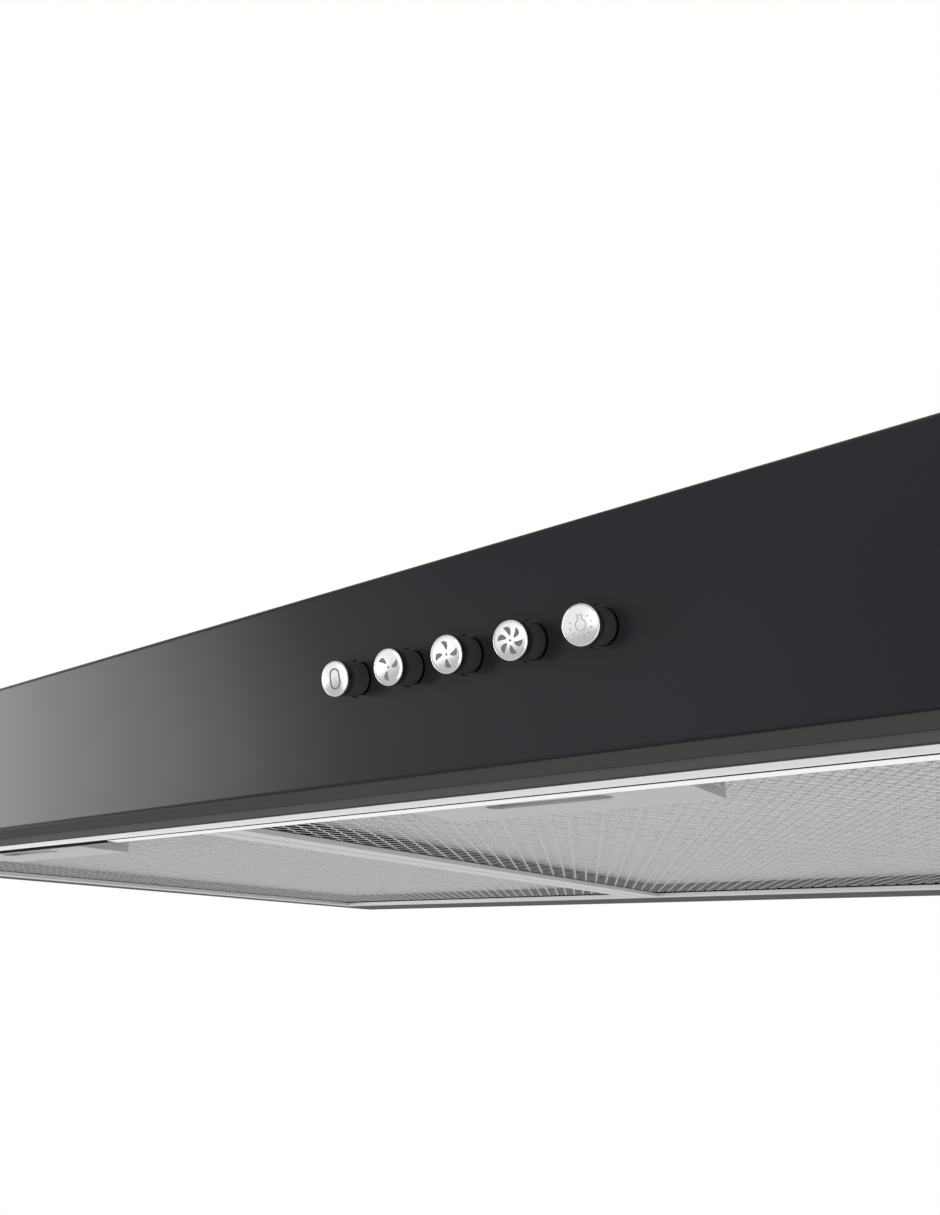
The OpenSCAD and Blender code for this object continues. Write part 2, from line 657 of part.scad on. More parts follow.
module motor_lugs() for (a = [30:120:270]) rotate(a) translate([lug_at, 0, 0]) children();
module motor() color("gray") at_wheel(0) difference() {
    union() {
        translate([0, 0, z_can]) rotate_extrude() polygon([[0, 0], [motor_r - 5, 0], [motor_r - 1.5, 1.5],
            [motor_r, 5], [motor_r, motor_h - 2], [motor_r - 2, motor_h + lug_t], [0, motor_h + lug_t]]);
        motor_lugs() translate([0, 0, z_lug - lug_t]) {
            cylinder(h = lug_t, r = lug_r, $fn = 48);
            translate([-14, -lug_r, 0]) cube([14, 2 * lug_r, lug_t]);
        }
    }
    translate([0, 0, z_can - 1]) cylinder(h = shaft_in + 5, r = shaft_r + run_gap);
    for (a = [0:30:330]) rotate(a) translate([motor_r - 4 - vent_l, -2, z_can - 1]) cube([vent_l, 4, 4]);
}

module motor_mounts() color([0.1, 0.1, 0.1]) at_wheel(z_lug) motor_lugs()
    rotate_extrude() polygon([[0, 0], [7, 0], [7, 1.5], [5.5, rubber_t / 2],
        [7, rubber_t - 1.5], [7, rubber_t], [0, rubber_t]]);

module capacitor() color("whitesmoke") translate([capacitor_at[0], capacitor_at[1], -sheet_t])
    mirror([0, 0, 1]) rotate_extrude()
        polygon([[0, 0], [capacitor_r, 0], [capacitor_r, capacitor_h - 2], [capacitor_r - 1, capacitor_h],
            [0, capacitor_h]]);

// ---- Duct collar and damper ----
module collar_screws() color("silver") collar_screw_places()
    translate([0, 0, flange_t]) mirror([0, 0, 1]) screw(6 + flange_t);

// The flaps lie on a narrow ledge inside the collar
ledge_w = 3;
ledge_t = 1.6;
ledge_top = z_rod - flap_t / 2 - 0.1;
module duct_collar() color("silver") difference() {
    translate([collar_c[0], collar_c[1], 0]) rotate_extrude() polygon(let (r = collar_r - collar_t)
        [[r, 0], [flange_r, 0], [flange_r, flange_t], [collar_r, flange_t], [collar_r, collar_h],
         [r, collar_h], [r, ledge_top], [r - ledge_w, ledge_top], [r - ledge_w, ledge_top - ledge_t],
         [r, ledge_top - ledge_t]]);
    translate([collar_c[0], collar_c[1], z_rod]) rotate([0, 90, 0])
        cylinder(h = 2 * flange_r, r = rod_r, center = true);
    collar_screw_places() translate([0, 0, -1]) cylinder(h = 4, r = screw_r);
}

module damper_rod() color("silver") translate([collar_c[0], collar_c[1], z_rod]) rotate([0, 90, 0])
    cylinder(h = 2 * collar_r - 0.6, r = rod_r, center = true);

// A half disc with knuckles; s is -1 in front and 1 behind, and the knuckles alternate
module damper(s) color("gray") translate([collar_c[0], collar_c[1], z_rod]) {
    step = 14;
    pairs = 4;
    start = knuckle_r + 0.3;
    places = [for (k = [0:pairs - 1]) step * (2 * k - pairs + (s > 0 ? 0 : 1))];
    difference() {
        union() {
            intersection() {
                translate([0, 0, -flap_t / 2]) cylinder(h = flap_t, r = flap_r);
                translate([-flap_r, s > 0 ? start : -start - flap_r, -1]) cube([2 * flap_r, flap_r, 2]);
            }
            for (x = places) {
                translate([x, 0, 0]) rotate([0, 90, 0]) cylinder(h = step - 1, r = knuckle_r, $fn = 32);
                translate([x, s > 0 ? 0 : -start - 1, -flap_t / 2]) cube([step - 1, start + 1, flap_t]);
            }
        }
        rotate([0, 90, 0]) cylinder(h = 2 * flap_r, r = rod_r + run_gap, center = true);
    }
}

// ---- Wiring ----
module cable_bushing() color([0.1, 0.1, 0.1]) translate([cable_c[0], cable_c[1], 0]) rotate_extrude()
    polygon([[cable_r, 2.5], [cable_r + 6, 2.5], [cable_r + 7, 1.5], [cable_r + 7, 0], [cable_r + 4, 0],
        [cable_r + 4, -sheet_t], [cable_r + 6, -sheet_t], [cable_r + 6, -4], [cable_r + 3.5, -5],
        [cable_r + 3, -9.5], [cable_r, -9.5]]);

module wiring_box() color("silver") translate([cable_c[0], cable_c[1], -sheet_t]) difference() {
    union() {
        translate([-box_w / 2, -box_d / 2, -box_h]) cube([box_w, box_d, box_h]);
        translate([-box_w / 2 - 9, -box_d / 2, -sheet_t]) cube([box_w + 18, box_d, sheet_t]);
    }
    translate([-box_w / 2 + sheet_t, -box_d / 2 + sheet_t, -box_h + sheet_t])
        cube([box_w - 2 * sheet_t, box_d - 2 * sheet_t, box_h]);
    for (s = [-1, 1]) translate([s * (box_w / 2 + 5), 0, -5]) cylinder(h = 10, r = 2.2);
}

// Five ways with a screw well in each, and slits between them
module terminal_block() color("whitesmoke")
    translate([cable_c[0] - ways * way_w / 2, cable_c[1] - box_d / 2 + 12, -box_h]) difference() {
        cube([ways * way_w, block_d, block_h]);
        for (k = [0.5:ways]) translate([way_w * k, block_d / 2, block_h - 6])
            cylinder(h = 10, r = 2.5, $fn = 32);
        for (k = [1:ways - 1]) translate([way_w * k - 0.5, -1, block_h / 2])
            cube([1, block_d + 2, block_h]);
    }

module led_driver() color("whitesmoke") translate([driver_at[0], driver_at[1], -sheet_t - driver[2]]) {
    ear = [9, 16, 2];
    cube(driver);
    for (x = [-ear[0], driver[0]]) translate([x, (driver[1] - ear[1]) / 2, driver[2] - ear[2]])
        difference() {
            cube(ear);
            translate([ear[0] / 2, ear[1] / 2, -1]) cylinder(h = ear[2] + 2, r = 2);
        }
}

canopy();
canopy_slope();
side(-1);  // side_left
side(1);  // side_right
back_panel();
front_panel();
front_rail();
rear_rail();
light_trim();
light_tray();
led_strip();
light_diffuser();
switch_housing();
switch_bracket();
button_barrel(0);  // button_stop
button_barrel(1);  // button_low
button_barrel(2);  // button_mid
button_barrel(3);  // button_high
button_barrel(4);  // button_light
button_cap(0);  // cap_stop
button_cap(1);  // cap_low
button_cap(2);  // cap_mid
button_cap(3);  // cap_high
button_cap(4);  // cap_light
filter_frame(-1);  // filter_left_frame
filter_mesh(-1);  // filter_left_mesh
filter_core(-1);  // filter_left_core
filter_handle(-1);  // filter_left_handle
filter_latch(-1);  // filter_left_latch
filter_frame(0);  // filter_middle_frame
filter_mesh(0);  // filter_middle_mesh
filter_core(0);  // filter_middle_core
filter_handle(0);  // filter_middle_handle
filter_latch(0);  // filter_middle_latch
filter_frame(1);  // filter_right_frame
filter_mesh(1);  // filter_right_mesh
filter_core(1);  // filter_right_core
filter_handle(1);  // filter_right_handle
filter_latch(1);  // filter_right_latch
scroll_housing();
inlet_cover();
inlet_mouth();
cover_screws();
fan_wheel();
fan_blades();
fan_ring();
motor_shaft();
wheel_nut();
motor();
motor_mounts();
capacitor();
duct_collar();
collar_screws();
damper_rod();
damper(-1);  // damper_front
damper(1);  // damper_rear
cable_bushing();
wiring_box();
terminal_block();
led_driver();
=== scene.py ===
import math

import bpy
from mathutils import Matrix, Vector


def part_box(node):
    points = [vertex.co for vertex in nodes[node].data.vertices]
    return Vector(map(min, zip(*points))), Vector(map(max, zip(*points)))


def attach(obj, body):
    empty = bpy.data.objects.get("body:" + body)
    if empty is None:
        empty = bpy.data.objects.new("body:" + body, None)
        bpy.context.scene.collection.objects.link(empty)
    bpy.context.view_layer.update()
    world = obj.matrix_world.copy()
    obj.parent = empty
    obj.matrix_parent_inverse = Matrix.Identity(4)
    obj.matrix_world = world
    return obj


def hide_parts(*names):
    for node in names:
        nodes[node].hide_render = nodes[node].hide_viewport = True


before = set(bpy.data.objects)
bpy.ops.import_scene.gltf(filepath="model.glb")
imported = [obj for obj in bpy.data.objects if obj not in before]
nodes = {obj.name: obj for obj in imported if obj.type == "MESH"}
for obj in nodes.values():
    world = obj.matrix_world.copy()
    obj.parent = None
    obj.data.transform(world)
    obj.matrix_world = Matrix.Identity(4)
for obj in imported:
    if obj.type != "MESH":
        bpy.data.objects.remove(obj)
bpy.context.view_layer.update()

# ---- Camera, studio light and floor --------------------------------------------------
# The camera stands close in front of the panel, a little right of the middle and below
# the rim, and looks up to the left along the buttons. Softboxes light the hood from the
# left, the front, below and above, and a small one its key caps. The floor is far below.
camera_place = (0.14362, -0.49328, -0.17613)
camera_turn = 36.355
camera_rise = 21.618
camera_roll = 1.087
camera_lens = 26.73
camera_sensor = 36
camera_near = 0.01


def put(name, data):
    """A new object in the scene, which holds the data."""
    made = bpy.data.objects.new(name, data)
    bpy.context.scene.collection.objects.link(made)
    return made


camera = put("camera", bpy.data.cameras.new("camera"))
camera.data.lens = camera_lens
camera.data.sensor_width = camera_sensor
camera.data.clip_start = camera_near
camera.matrix_world = (
    Matrix.Translation(camera_place)
    @ Matrix.Rotation(math.radians(camera_turn), 4, "Z")
    @ Matrix.Rotation(math.radians(90 + camera_rise), 4, "X")
    @ Matrix.Rotation(math.radians(camera_roll), 4, "Z"))
bpy.context.scene.camera = camera
bpy.context.scene.view_settings.view_transform = "Standard"


def add(tree, kind, inputs=(), **settings):
    """A node with its settings, and its inputs as (socket, value or source socket)."""
    made = tree.nodes.new(kind)
    for name, value in settings.items():
        setattr(made, name, value)
    for name, value in inputs:
        socket = made.inputs[name]
        if isinstance(value, bpy.types.NodeSocket):
            tree.links.new(value, socket)
        else:
            socket.default_value = value
    return made


def maths(tree, kind, *values):
    """The result of one sum, test or function of the values."""
    return add(tree, "ShaderNodeMath", enumerate(values), operation=kind).outputs[0]


def object_place(tree):
    return add(tree, "ShaderNodeTexCoord").outputs["Object"]


def whitened(tree, shader, bright, share):
    """The shader, mixed towards a bright one where it is seen, in metal and in glass too."""
    rays = add(tree, "ShaderNodeLightPath").outputs
    seen = rays["Is Camera Ray"]
    for other in ("Is Glossy Ray", "Is Transmission Ray"):
        seen = maths(tree, "MAXIMUM", seen, rays[other])
    part = maths(tree, "MULTIPLY", seen, share)
    return add(tree, "ShaderNodeMixShader", [(0, part), (1, shader), (2, bright)]).outputs[0]


white = (1, 1, 1, 1)
soft_level = 0.8
world = bpy.data.worlds.new("studio")
bpy.context.scene.world = world
world.use_nodes = True
tree = world.node_tree
tree.nodes.clear()
soft = add(tree, "ShaderNodeBackground", [("Color", white), ("Strength", soft_level)])
backdrop = add(tree, "ShaderNodeBackground", [("Color", white), ("Strength", 1.0)])
add(tree, "ShaderNodeOutputWorld",
    [("Surface", whitened(tree, soft.outputs[0], backdrop.outputs[0], 1.0))])


def softbox(name, place, target, size, watts):
    data = bpy.data.lights.new(name, "AREA")
    data.shape = "RECTANGLE"
    data.size, data.size_y = size
    data.energy = watts
    lamp = put(name, data)
    lamp.location = place
    lamp.rotation_mode = "QUATERNION"
    lamp.rotation_quaternion = (Vector(target) - Vector(place)).to_track_quat("-Z", "Y")
    lamp.visible_camera = False


softbox("left_softbox", (-2.82, -1.66, -0.25), (0, -0.3, -0.1), (1.76, 1.1), 37)
softbox("front_softbox", (-1.66, -2.68, -0.85), (0, -0.3, -0.1), (2.4, 1.05), 6)
softbox("low_softbox", (0.9, -1.6, -1.2), (0, 0, -0.1), (1.6, 1.6), 11)
softbox("top_softbox", (0.3, -0.4, 2.4), (0, 0, 0), (2.4, 2.4), 12)
softbox("key_softbox", (-1.65, -2.75, -0.44), (0, -0.3, -0.1), (0.45, 0.15), 0.45)

floor_depth = 2.2
floor_half = 4
floor_white = 0.8
fade_start = 2.3
fade_end = 3.7
floor_mesh = bpy.data.meshes.new("floor")
floor_mesh.from_pydata([(x * floor_half, y * floor_half, -floor_depth)
                        for x, y in ((-1, -1), (1, -1), (1, 1), (-1, 1))], [], [(0, 1, 2, 3)])
pale = bpy.data.materials.new("pale_floor")
pale.use_nodes = True
tree = pale.node_tree
surface = tree.nodes["Principled BSDF"]
surface.inputs["Base Color"].default_value = (0.8, 0.8, 0.79, 1)
surface.inputs["Roughness"].default_value = 0.7
# Its shadows fade out towards its edges, where it meets the white behind it
reach = add(tree, "ShaderNodeVectorMath", [(0, object_place(tree))], operation="LENGTH")
fade = add(tree, "ShaderNodeMapRange", [("Value", reach.outputs["Value"]),
           ("From Min", fade_start), ("From Max", fade_end), ("To Min", floor_white),
           ("To Max", 1.0)])
shine = add(tree, "ShaderNodeEmission", [("Color", white), ("Strength", 1.0)])
tree.links.new(whitened(tree, surface.outputs[0], shine.outputs[0], fade.outputs[0]),
               tree.nodes["Material Output"].inputs["Surface"])
floor_mesh.materials.append(pale)
put("floor", floor_mesh)

# ---- Body shell ----------------------------------------------------------------------
# Flat top, slope, sides, back and rails of folded steel sheet, spot welded and
# powder coated satin black, which leaves a fine even grain.


def material(name, colour, roughness, metallic=0.0, **other):
    """A material whose constant values stand on its own shader."""
    made = bpy.data.materials.new(name)
    made.use_nodes = True
    shader = made.node_tree.nodes["Principled BSDF"]
    shader.inputs["Base Color"].default_value = (*colour, 1)
    shader.inputs["Roughness"].default_value = roughness
    shader.inputs["Metallic"].default_value = metallic
    for socket, value in other.items():
        shader.inputs[socket.replace("_", " ").title().replace("Ior", "IOR")].default_value = value
    return made


def use_group(made, group, values):
    """The group's node in a material, with its place and its values set."""
    used = add(made.node_tree, "ShaderNodeGroup", node_tree=group)
    made.node_tree.links.new(object_place(made.node_tree), used.inputs["Place"])
    for name, value in values.items():
        used.inputs[name].default_value = value
    return used


def finish(made, group, values, outputs, bump, reach):
    """Places a finish group in a material and joins its outputs to the shader."""
    tree = made.node_tree
    shader = tree.nodes["Principled BSDF"]
    used = use_group(made, group, values)
    for name in outputs:
        tree.links.new(used.outputs[name], shader.inputs[sockets[name]])
    bumped = add(tree, "ShaderNodeBump", [("Strength", bump), ("Distance", reach),
                 ("Height", used.outputs["Height"])])
    tree.links.new(bumped.outputs[0], shader.inputs["Normal"])
    return made


def insert(made, group, values, outputs):
    """Passes what is linked to the shader through one more group, which has the constants."""
    tree = made.node_tree
    shader = tree.nodes["Principled BSDF"]
    used = use_group(made, group, values)
    for name in outputs:
        socket = shader.inputs[sockets[name]]
        if socket.links:
            tree.links.new(socket.links[0].from_socket, used.inputs[name])
        tree.links.new(used.outputs[name], socket)


def new_group(name, inputs, outputs):
    """An empty shader group with named sockets, its input node and its output node."""
    group = bpy.data.node_groups.new(name, "ShaderNodeTree")
    for label, kind, value in inputs:
        socket = group.interface.new_socket(label, in_out="INPUT", socket_type=kind)
        if value is not None:
            socket.default_value = value
    for label, kind in outputs:
        group.interface.new_socket(label, in_out="OUTPUT", socket_type=kind)
    return group, group.nodes.new("NodeGroupInput").outputs, group.nodes.new("NodeGroupOutput")


def deliver(group, out, **values):
    for name, value in values.items():
        group.links.new(value, out.inputs[name])


def noise(tree, place, scale, detail):
    return add(tree, "ShaderNodeTexNoise", [("Vector", place), ("Scale", scale),
               ("Detail", detail)]).outputs[0]


def spread(tree, value, low, high):
    """A noise value near one half, spread over low to high."""
    return add(tree, "ShaderNodeMapRange", [("Value", value), ("From Min", 0.3),
               ("From Max", 0.7), ("To Min", low), ("To Max", high)]).outputs[0]


def blend(tree, factor, first, second, kind="RGBA"):
    """The first colour or number where the factor is 0, and the second where it is 1."""
    a, b, result = (6, 7, 2) if kind == "RGBA" else (2, 3, 0)
    return add(tree, "ShaderNodeMix", [("Factor", factor), (a, first), (b, second)],
               data_type=kind).outputs[result]


FLOAT, COLOUR, VECTOR = "NodeSocketFloat", "NodeSocketColor", "NodeSocketVector"
sockets = {"Colour": "Base Color", "Roughness": "Roughness", "Metallic": "Metallic"}

# Sprayed coat: a fine grain, with faint broad clouds in its gloss and colour
coat, given, out = new_group("sprayed_coat", [
    ("Place", VECTOR, None), ("Grain", FLOAT, 2500.0), ("Dark", COLOUR, None),
    ("Light", COLOUR, None), ("Low Gloss", FLOAT, 0.4), ("High Gloss", FLOAT, 0.5)],
    [("Colour", COLOUR), ("Roughness", FLOAT), ("Height", FLOAT)])
broad = noise(coat, given["Place"], 9.0, 3.0)
deliver(coat, out, Height=noise(coat, given["Place"], given["Grain"], 2.0),
        Colour=blend(coat, spread(coat, broad, 0.0, 1.0), given["Dark"], given["Light"]),
        Roughness=spread(coat, broad, given["Low Gloss"], given["High Gloss"]))


def sprayed(name, dark, light, low, high, grain, bump, **other):
    return finish(material(name, light, low, **other), coat,
                  {"Dark": (*dark, 1), "Light": (*light, 1), "Grain": grain,
                   "Low Gloss": low, "High Gloss": high}, ["Colour", "Roughness"], bump, 0.0001)


def give(made, *names):
    for name in names:
        nodes[name].data.materials.clear()
        nodes[name].data.materials.append(made)


body_coat = sprayed("black_powder_coat", (0.024, 0.024, 0.026), (0.031, 0.031, 0.033),
                    0.42, 0.5, 2600.0, 0.5, specular_ior_level=0.35)
give(body_coat, "canopy", "canopy_slope", "side_left", "side_right", "back_panel",
     "rear_rail")

# ---- Front panel ---------------------------------------------------------------------
# One folded sheet with a smooth baked enamel, glossier than the body. Its top fold lies
# on the slope, and its hem closes the front rail.
panel_enamel = sprayed("black_enamel", (0.0150, 0.0142, 0.0180), (0.0175, 0.0167, 0.0205),
                       0.22, 0.26, 900.0, 0.05, specular_ior_level=0.1)
give(panel_enamel, "front_panel")
hem_top = -0.1266
hem_front = -0.2992
fold_top = -0.1273
painted_fold_shade = (0.007, 0.007, 0.008, 1)
rim_top = -0.1255
no_front = -0.5
no_fold = -1.0

underside, given, out = new_group("dull_and_lit_underside", [
    ("Place", VECTOR, None), ("Roughness", FLOAT, 0.2), ("Colour", COLOUR, None),
    ("Top", FLOAT, 0.0), ("Front", FLOAT, 0.0), ("Dull", FLOAT, 0.9), ("Painted Light", COLOUR, None),
    ("Fold Top", FLOAT, no_fold), ("Fold", COLOUR, None)],
    [("Roughness", FLOAT), ("Colour", COLOUR)])
at = add(underside, "ShaderNodeSeparateXYZ", [(0, given["Place"])]).outputs
behind = maths(underside, "GREATER_THAN", at["Y"], given["Front"])
hidden = maths(underside, "MULTIPLY", behind,
               maths(underside, "LESS_THAN", at["Z"], given["Top"]))
lit_underside = blend(underside, hidden, given["Colour"], given["Painted Light"])
# The outside of the fold is painted dark: painted shade at the bend
fold_shade_mask = maths(underside, "MULTIPLY", maths(underside, "LESS_THAN", at["Z"], given["Fold Top"]),
               maths(underside, "SUBTRACT", 1.0, behind))
deliver(underside, out, Colour=blend(underside, fold_shade_mask, lit_underside, given["Fold"]),
        Roughness=blend(underside, hidden, given["Roughness"], given["Dull"], "FLOAT"))


def dulled(made, top, front, dull, under_light, fold=no_fold):
    """Makes the finish dull under the hem, where little of the spray reaches, and paints it lighter
    there as painted light; the fold's outside is painted dark as painted shade.
    """
    insert(made, underside, {"Top": top, "Front": front, "Dull": dull, "Painted Light": (*under_light, 1),
                             "Fold Top": fold, "Fold": painted_fold_shade}, ["Roughness", "Colour"])


# Painted light under the hem and the body's rims, and painted shade at the panel's fold
dulled(panel_enamel, hem_top, hem_front, 0.72, (0.031, 0.031, 0.032), fold_top)
dulled(body_coat, rim_top, no_front, 0.7, (0.033, 0.033, 0.034))

# The rail is coated with the body, and its colour is painted paler towards the trim: painted
# reflection of the lit trim in the coat
painted_glow_width = 0.013
rail_low, rail_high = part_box("front_rail")
rail_coat = sprayed("black_coat_on_rail", (0.018, 0.018, 0.019), (0.022, 0.022, 0.023),
                    0.68, 0.74, 2600.0, 0.5, specular_ior_level=0.35)
tree = rail_coat.node_tree
used = next(n for n in tree.nodes if n.type == "GROUP")
at = add(tree, "ShaderNodeSeparateXYZ", [(0, object_place(tree))]).outputs
fade = add(tree, "ShaderNodeMapRange", [("Value", at["Y"]),
           ("From Min", rail_high.y - painted_glow_width), ("From Max", rail_high.y)]).outputs[0]
# Painted reflection: dark at the rail's front, pale at the trim
for label, near, far in (("Dark", (0.017, 0.017, 0.018, 1), (0.050, 0.050, 0.051, 1)),
                         ("Light", (0.021, 0.021, 0.022, 1), (0.058, 0.058, 0.059, 1))):
    tree.links.new(blend(tree, fade, near, far), used.inputs[label])
give(rail_coat, "front_rail")

# ---- Light strip ---------------------------------------------------------------------
# A satin anodised trim, a matt black tray behind it, a white circuit strip with small
# lamps, and an opal bar that spreads their light. The trim and tray run the full width.
anodised = sprayed("satin_anodised_trim", (0.90, 0.90, 0.90), (0.93, 0.93, 0.93),
                   0.3, 0.36, 5000.0, 0.1, metallic=0.05)
give(anodised, "light_trim")
tray_black = sprayed("matt_black_tray", (0.007, 0.007, 0.007), (0.010, 0.010, 0.010),
                     0.9, 1.0, 3000.0, 0.3, specular_ior_level=0.1)
give(tray_black, "light_tray")


def new_piece(name, places, faces, made, body):
    """A mesh piece that rides on a body, with the given finish."""
    mesh = bpy.data.meshes.new(name)
    mesh.from_pydata(places, [], faces)
    mesh.materials.append(made)
    piece = put(name, mesh)
    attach(piece, body)
    return piece


def folded_strip(name, outline, x0, x1, made):
    """A strip along X with the given outline in Y and Z, which runs anticlockwise from +X."""
    n = len(outline)
    return new_piece(name, [(x, y, z) for x in (x0, x1) for y, z in outline],
                     [tuple(reversed(range(n))), tuple(range(n, 2 * n))]
                     + [(k, (k + 1) % n, n + (k + 1) % n, n + k) for k in range(n)],
                     made, "root")


# Beside the opal bar the tray's rear wall reaches the rim, where it turns in as a hem
fit = 0.0002
clip_length = 0.0074
wall = 0.0008
hem_width = 0.0016
hem_rise = 0.0016
hem_edge = 0.0003
rim_gap = 0.0001
tray_low, tray_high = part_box("light_tray")
bar_low, bar_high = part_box("light_diffuser")
bar_low.x += clip_length + fit
bar_high.x -= clip_length + fit
back = tray_high.y
rim = tray_low.z + rim_gap
turned_in = back - wall - hem_width
hem_outline = [(back, bar_low.z + hem_rise), (back - wall, bar_low.z + hem_rise),
               (back - wall, rim + wall), (turned_in, rim + wall),
               (turned_in - hem_edge, rim + wall / 2), (turned_in, rim),
               (back - hem_edge, rim), (back, rim + hem_edge)]
for label, x0, x1 in (("left", tray_low.x, bar_low.x - fit),
                      ("right", bar_high.x + fit, tray_high.x)):
    folded_strip(f"tray_hem_{label}", hem_outline, x0, x1, tray_black)

# The rail's rear edge turns down a little in front of the trim
bead = 0.0004
bead_flat = 0.7 * bead
bead_outline = [(rail_high.y, rail_low.z), (rail_high.y - bead, rail_low.z),
                (rail_high.y - bead, rail_low.z - bead_flat),
                (rail_high.y - bead_flat, rail_low.z - bead), (rail_high.y, rail_low.z - bead)]
# The bead is painted as pale as the rail's rear edge: painted reflection of the trim
bead_coat = sprayed("black_coat_on_edge", (0.050, 0.050, 0.051), (0.056, 0.056, 0.057),
                    0.6, 0.7, 2600.0, 0.3, specular_ior_level=0.2)
folded_strip("rail_edge_bead", bead_outline, rail_low.x, rail_high.x, bead_coat)

strip_mask = sprayed("white_solder_mask", (0.82, 0.82, 0.79), (0.86, 0.86, 0.83),
                     0.35, 0.4, 4000.0, 0.05)
give(strip_mask, "led_strip")
opal = sprayed("opal_bar", (0.74, 0.74, 0.74), (0.77, 0.77, 0.77), 0.3, 0.35, 3000.0, 0.02,
               emission_color=white, emission_strength=0.12)

# The bar is a channel with legs, held at each end by a clip moulded in black plastic
leg = 0.0008
bar_thick = 0.0012
clip_thick = 0.0010
soft_edge = 0.0002
rear_gap = 0.0001
front_step = 0.0006
leg_inset = 0.001
bar_front = bar_low.y + front_step
leg_back = back - leg_inset


def channel_outline(base, thick, rear):
    top, high, front = base + thick, bar_high.z, bar_front
    return [(rear, base + soft_edge), (rear, top), (leg_back, top), (leg_back, high),
            (leg_back - leg, high), (leg_back - leg, top), (front + leg, top),
            (front + leg, high), (front, high), (front, base + soft_edge),
            (front + soft_edge, base), (rear - soft_edge, base)]


bar = folded_strip("light_bar", channel_outline(bar_low.z, bar_thick, bar_high.y - rear_gap),
                   bar_low.x, bar_high.x, opal)
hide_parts("light_diffuser")
clip_plastic = sprayed("black_clip_plastic", (0.008, 0.008, 0.008), (0.012, 0.012, 0.012),
                       0.6, 0.7, 4000.0, 0.1, specular_ior_level=0.2)
clip_outline = channel_outline(bar_low.z + bar_thick, clip_thick, leg_back + rear_gap)
for label, x0 in (("left", bar_low.x - clip_length), ("right", bar_high.x)):
    folded_strip(f"light_bar_clip_{label}", clip_outline, x0, x0 + clip_length, clip_plastic)

# ---- Push buttons --------------------------------------------------------------------
# Five keys moulded in black plastic, each with a bright metal cap pressed on its end.
# The caps carry shallow generic signs: nought, three fans that grow, and a lamp.
key_names = ("stop", "low", "mid", "high", "light")
key_plastic = sprayed("black_key_moulding", (0.041, 0.040, 0.045), (0.048, 0.047, 0.052),
                      0.3, 0.36, 3500.0, 0.1, specular_ior_level=0.4)
cap_metal = material("bright_spun_cap", (0.465, 0.465, 0.465), 0.08, metallic=1.0)

# Spun face: a very fine grain in its gloss
spun, given, out = new_group("spun_face", [
    ("Place", VECTOR, None), ("Grain", FLOAT, 9000.0), ("Low Gloss", FLOAT, 0.07),
    ("High Gloss", FLOAT, 0.1)], [("Roughness", FLOAT), ("Height", FLOAT)])
grain = noise(spun, given["Place"], given["Grain"], 1.0)
deliver(spun, out, Height=grain,
        Roughness=spread(spun, grain, given["Low Gloss"], given["High Gloss"]))
finish(cap_metal, spun, {}, ["Roughness"], 0.08, 0.00005)
give(key_plastic, *["button_" + key for key in key_names])
give(cap_metal, *["cap_" + key for key in key_names])
lean = math.radians(15)
face_out = Vector((0, -math.cos(lean), -math.sin(lean)))
face_up = Vector((0, -math.sin(lean), math.cos(lean)))

# Painted shade: the keys are painted deep black where they come out of the panel's face, for the
# shade in the gap round them, and painted darker again towards the cap, for the cap's shadow
gap_shade_length = 0.0003
cap_shadow_length = 0.0022
cap_shadow_share = 0.85
panel_face = max(v.co.dot(face_out) for v in nodes["front_panel"].data.vertices)
cap_back = min(v.co.dot(face_out) for v in nodes["cap_stop"].data.vertices)
shank, given, out = new_group("painted_shade_on_key", [
    ("Place", VECTOR, None), ("Colour", COLOUR, None), ("Shade", COLOUR, None),
    ("Outward", VECTOR, None), ("Face", FLOAT, 0.3), ("Neck", FLOAT, 0.3), ("Cap", FLOAT, 0.3)],
    [("Colour", COLOUR)])
depth = add(shank, "ShaderNodeVectorMath", [(0, given["Place"]), (1, given["Outward"])],
            operation="DOT_PRODUCT").outputs["Value"]
cap_shadow = add(shank, "ShaderNodeMapRange", [("Value", depth), ("From Min", given["Neck"]),
               ("From Max", given["Cap"]), ("To Max", cap_shadow_share)]).outputs[0]
painted_shade = maths(shank, "MAXIMUM", maths(shank, "LESS_THAN", depth, given["Face"]), cap_shadow)
deliver(shank, out, Colour=blend(shank, painted_shade, given["Colour"], given["Shade"]))
insert(key_plastic, shank, {
    "Shade": (0.001, 0.001, 0.001, 1), "Outward": face_out, "Face": panel_face + gap_shade_length,
    "Neck": cap_back - cap_shadow_length, "Cap": cap_back}, ["Colour"])

sign_floor = 0.00107
same_level = 0.00002
fill_low = 0.00001
fill_high = 0.0001
sign_grey = sprayed("grey_sign_fill", (0.085, 0.085, 0.09), (0.12, 0.12, 0.125), 0.4, 0.5,
                    6000.0, 0.1)
sign_pale = sprayed("pale_sign_fill", (0.42, 0.42, 0.42), (0.5, 0.5, 0.5), 0.4, 0.5, 6000.0,
                    0.1)


def open_edges(faces):
    """The edges that only one of the faces has, each with its own direction."""
    edges = {(a, b) for f in faces for a, b in zip(f, f[1:] + f[:1])}
    return [(a, b) for a, b in edges if (b, a) not in edges]


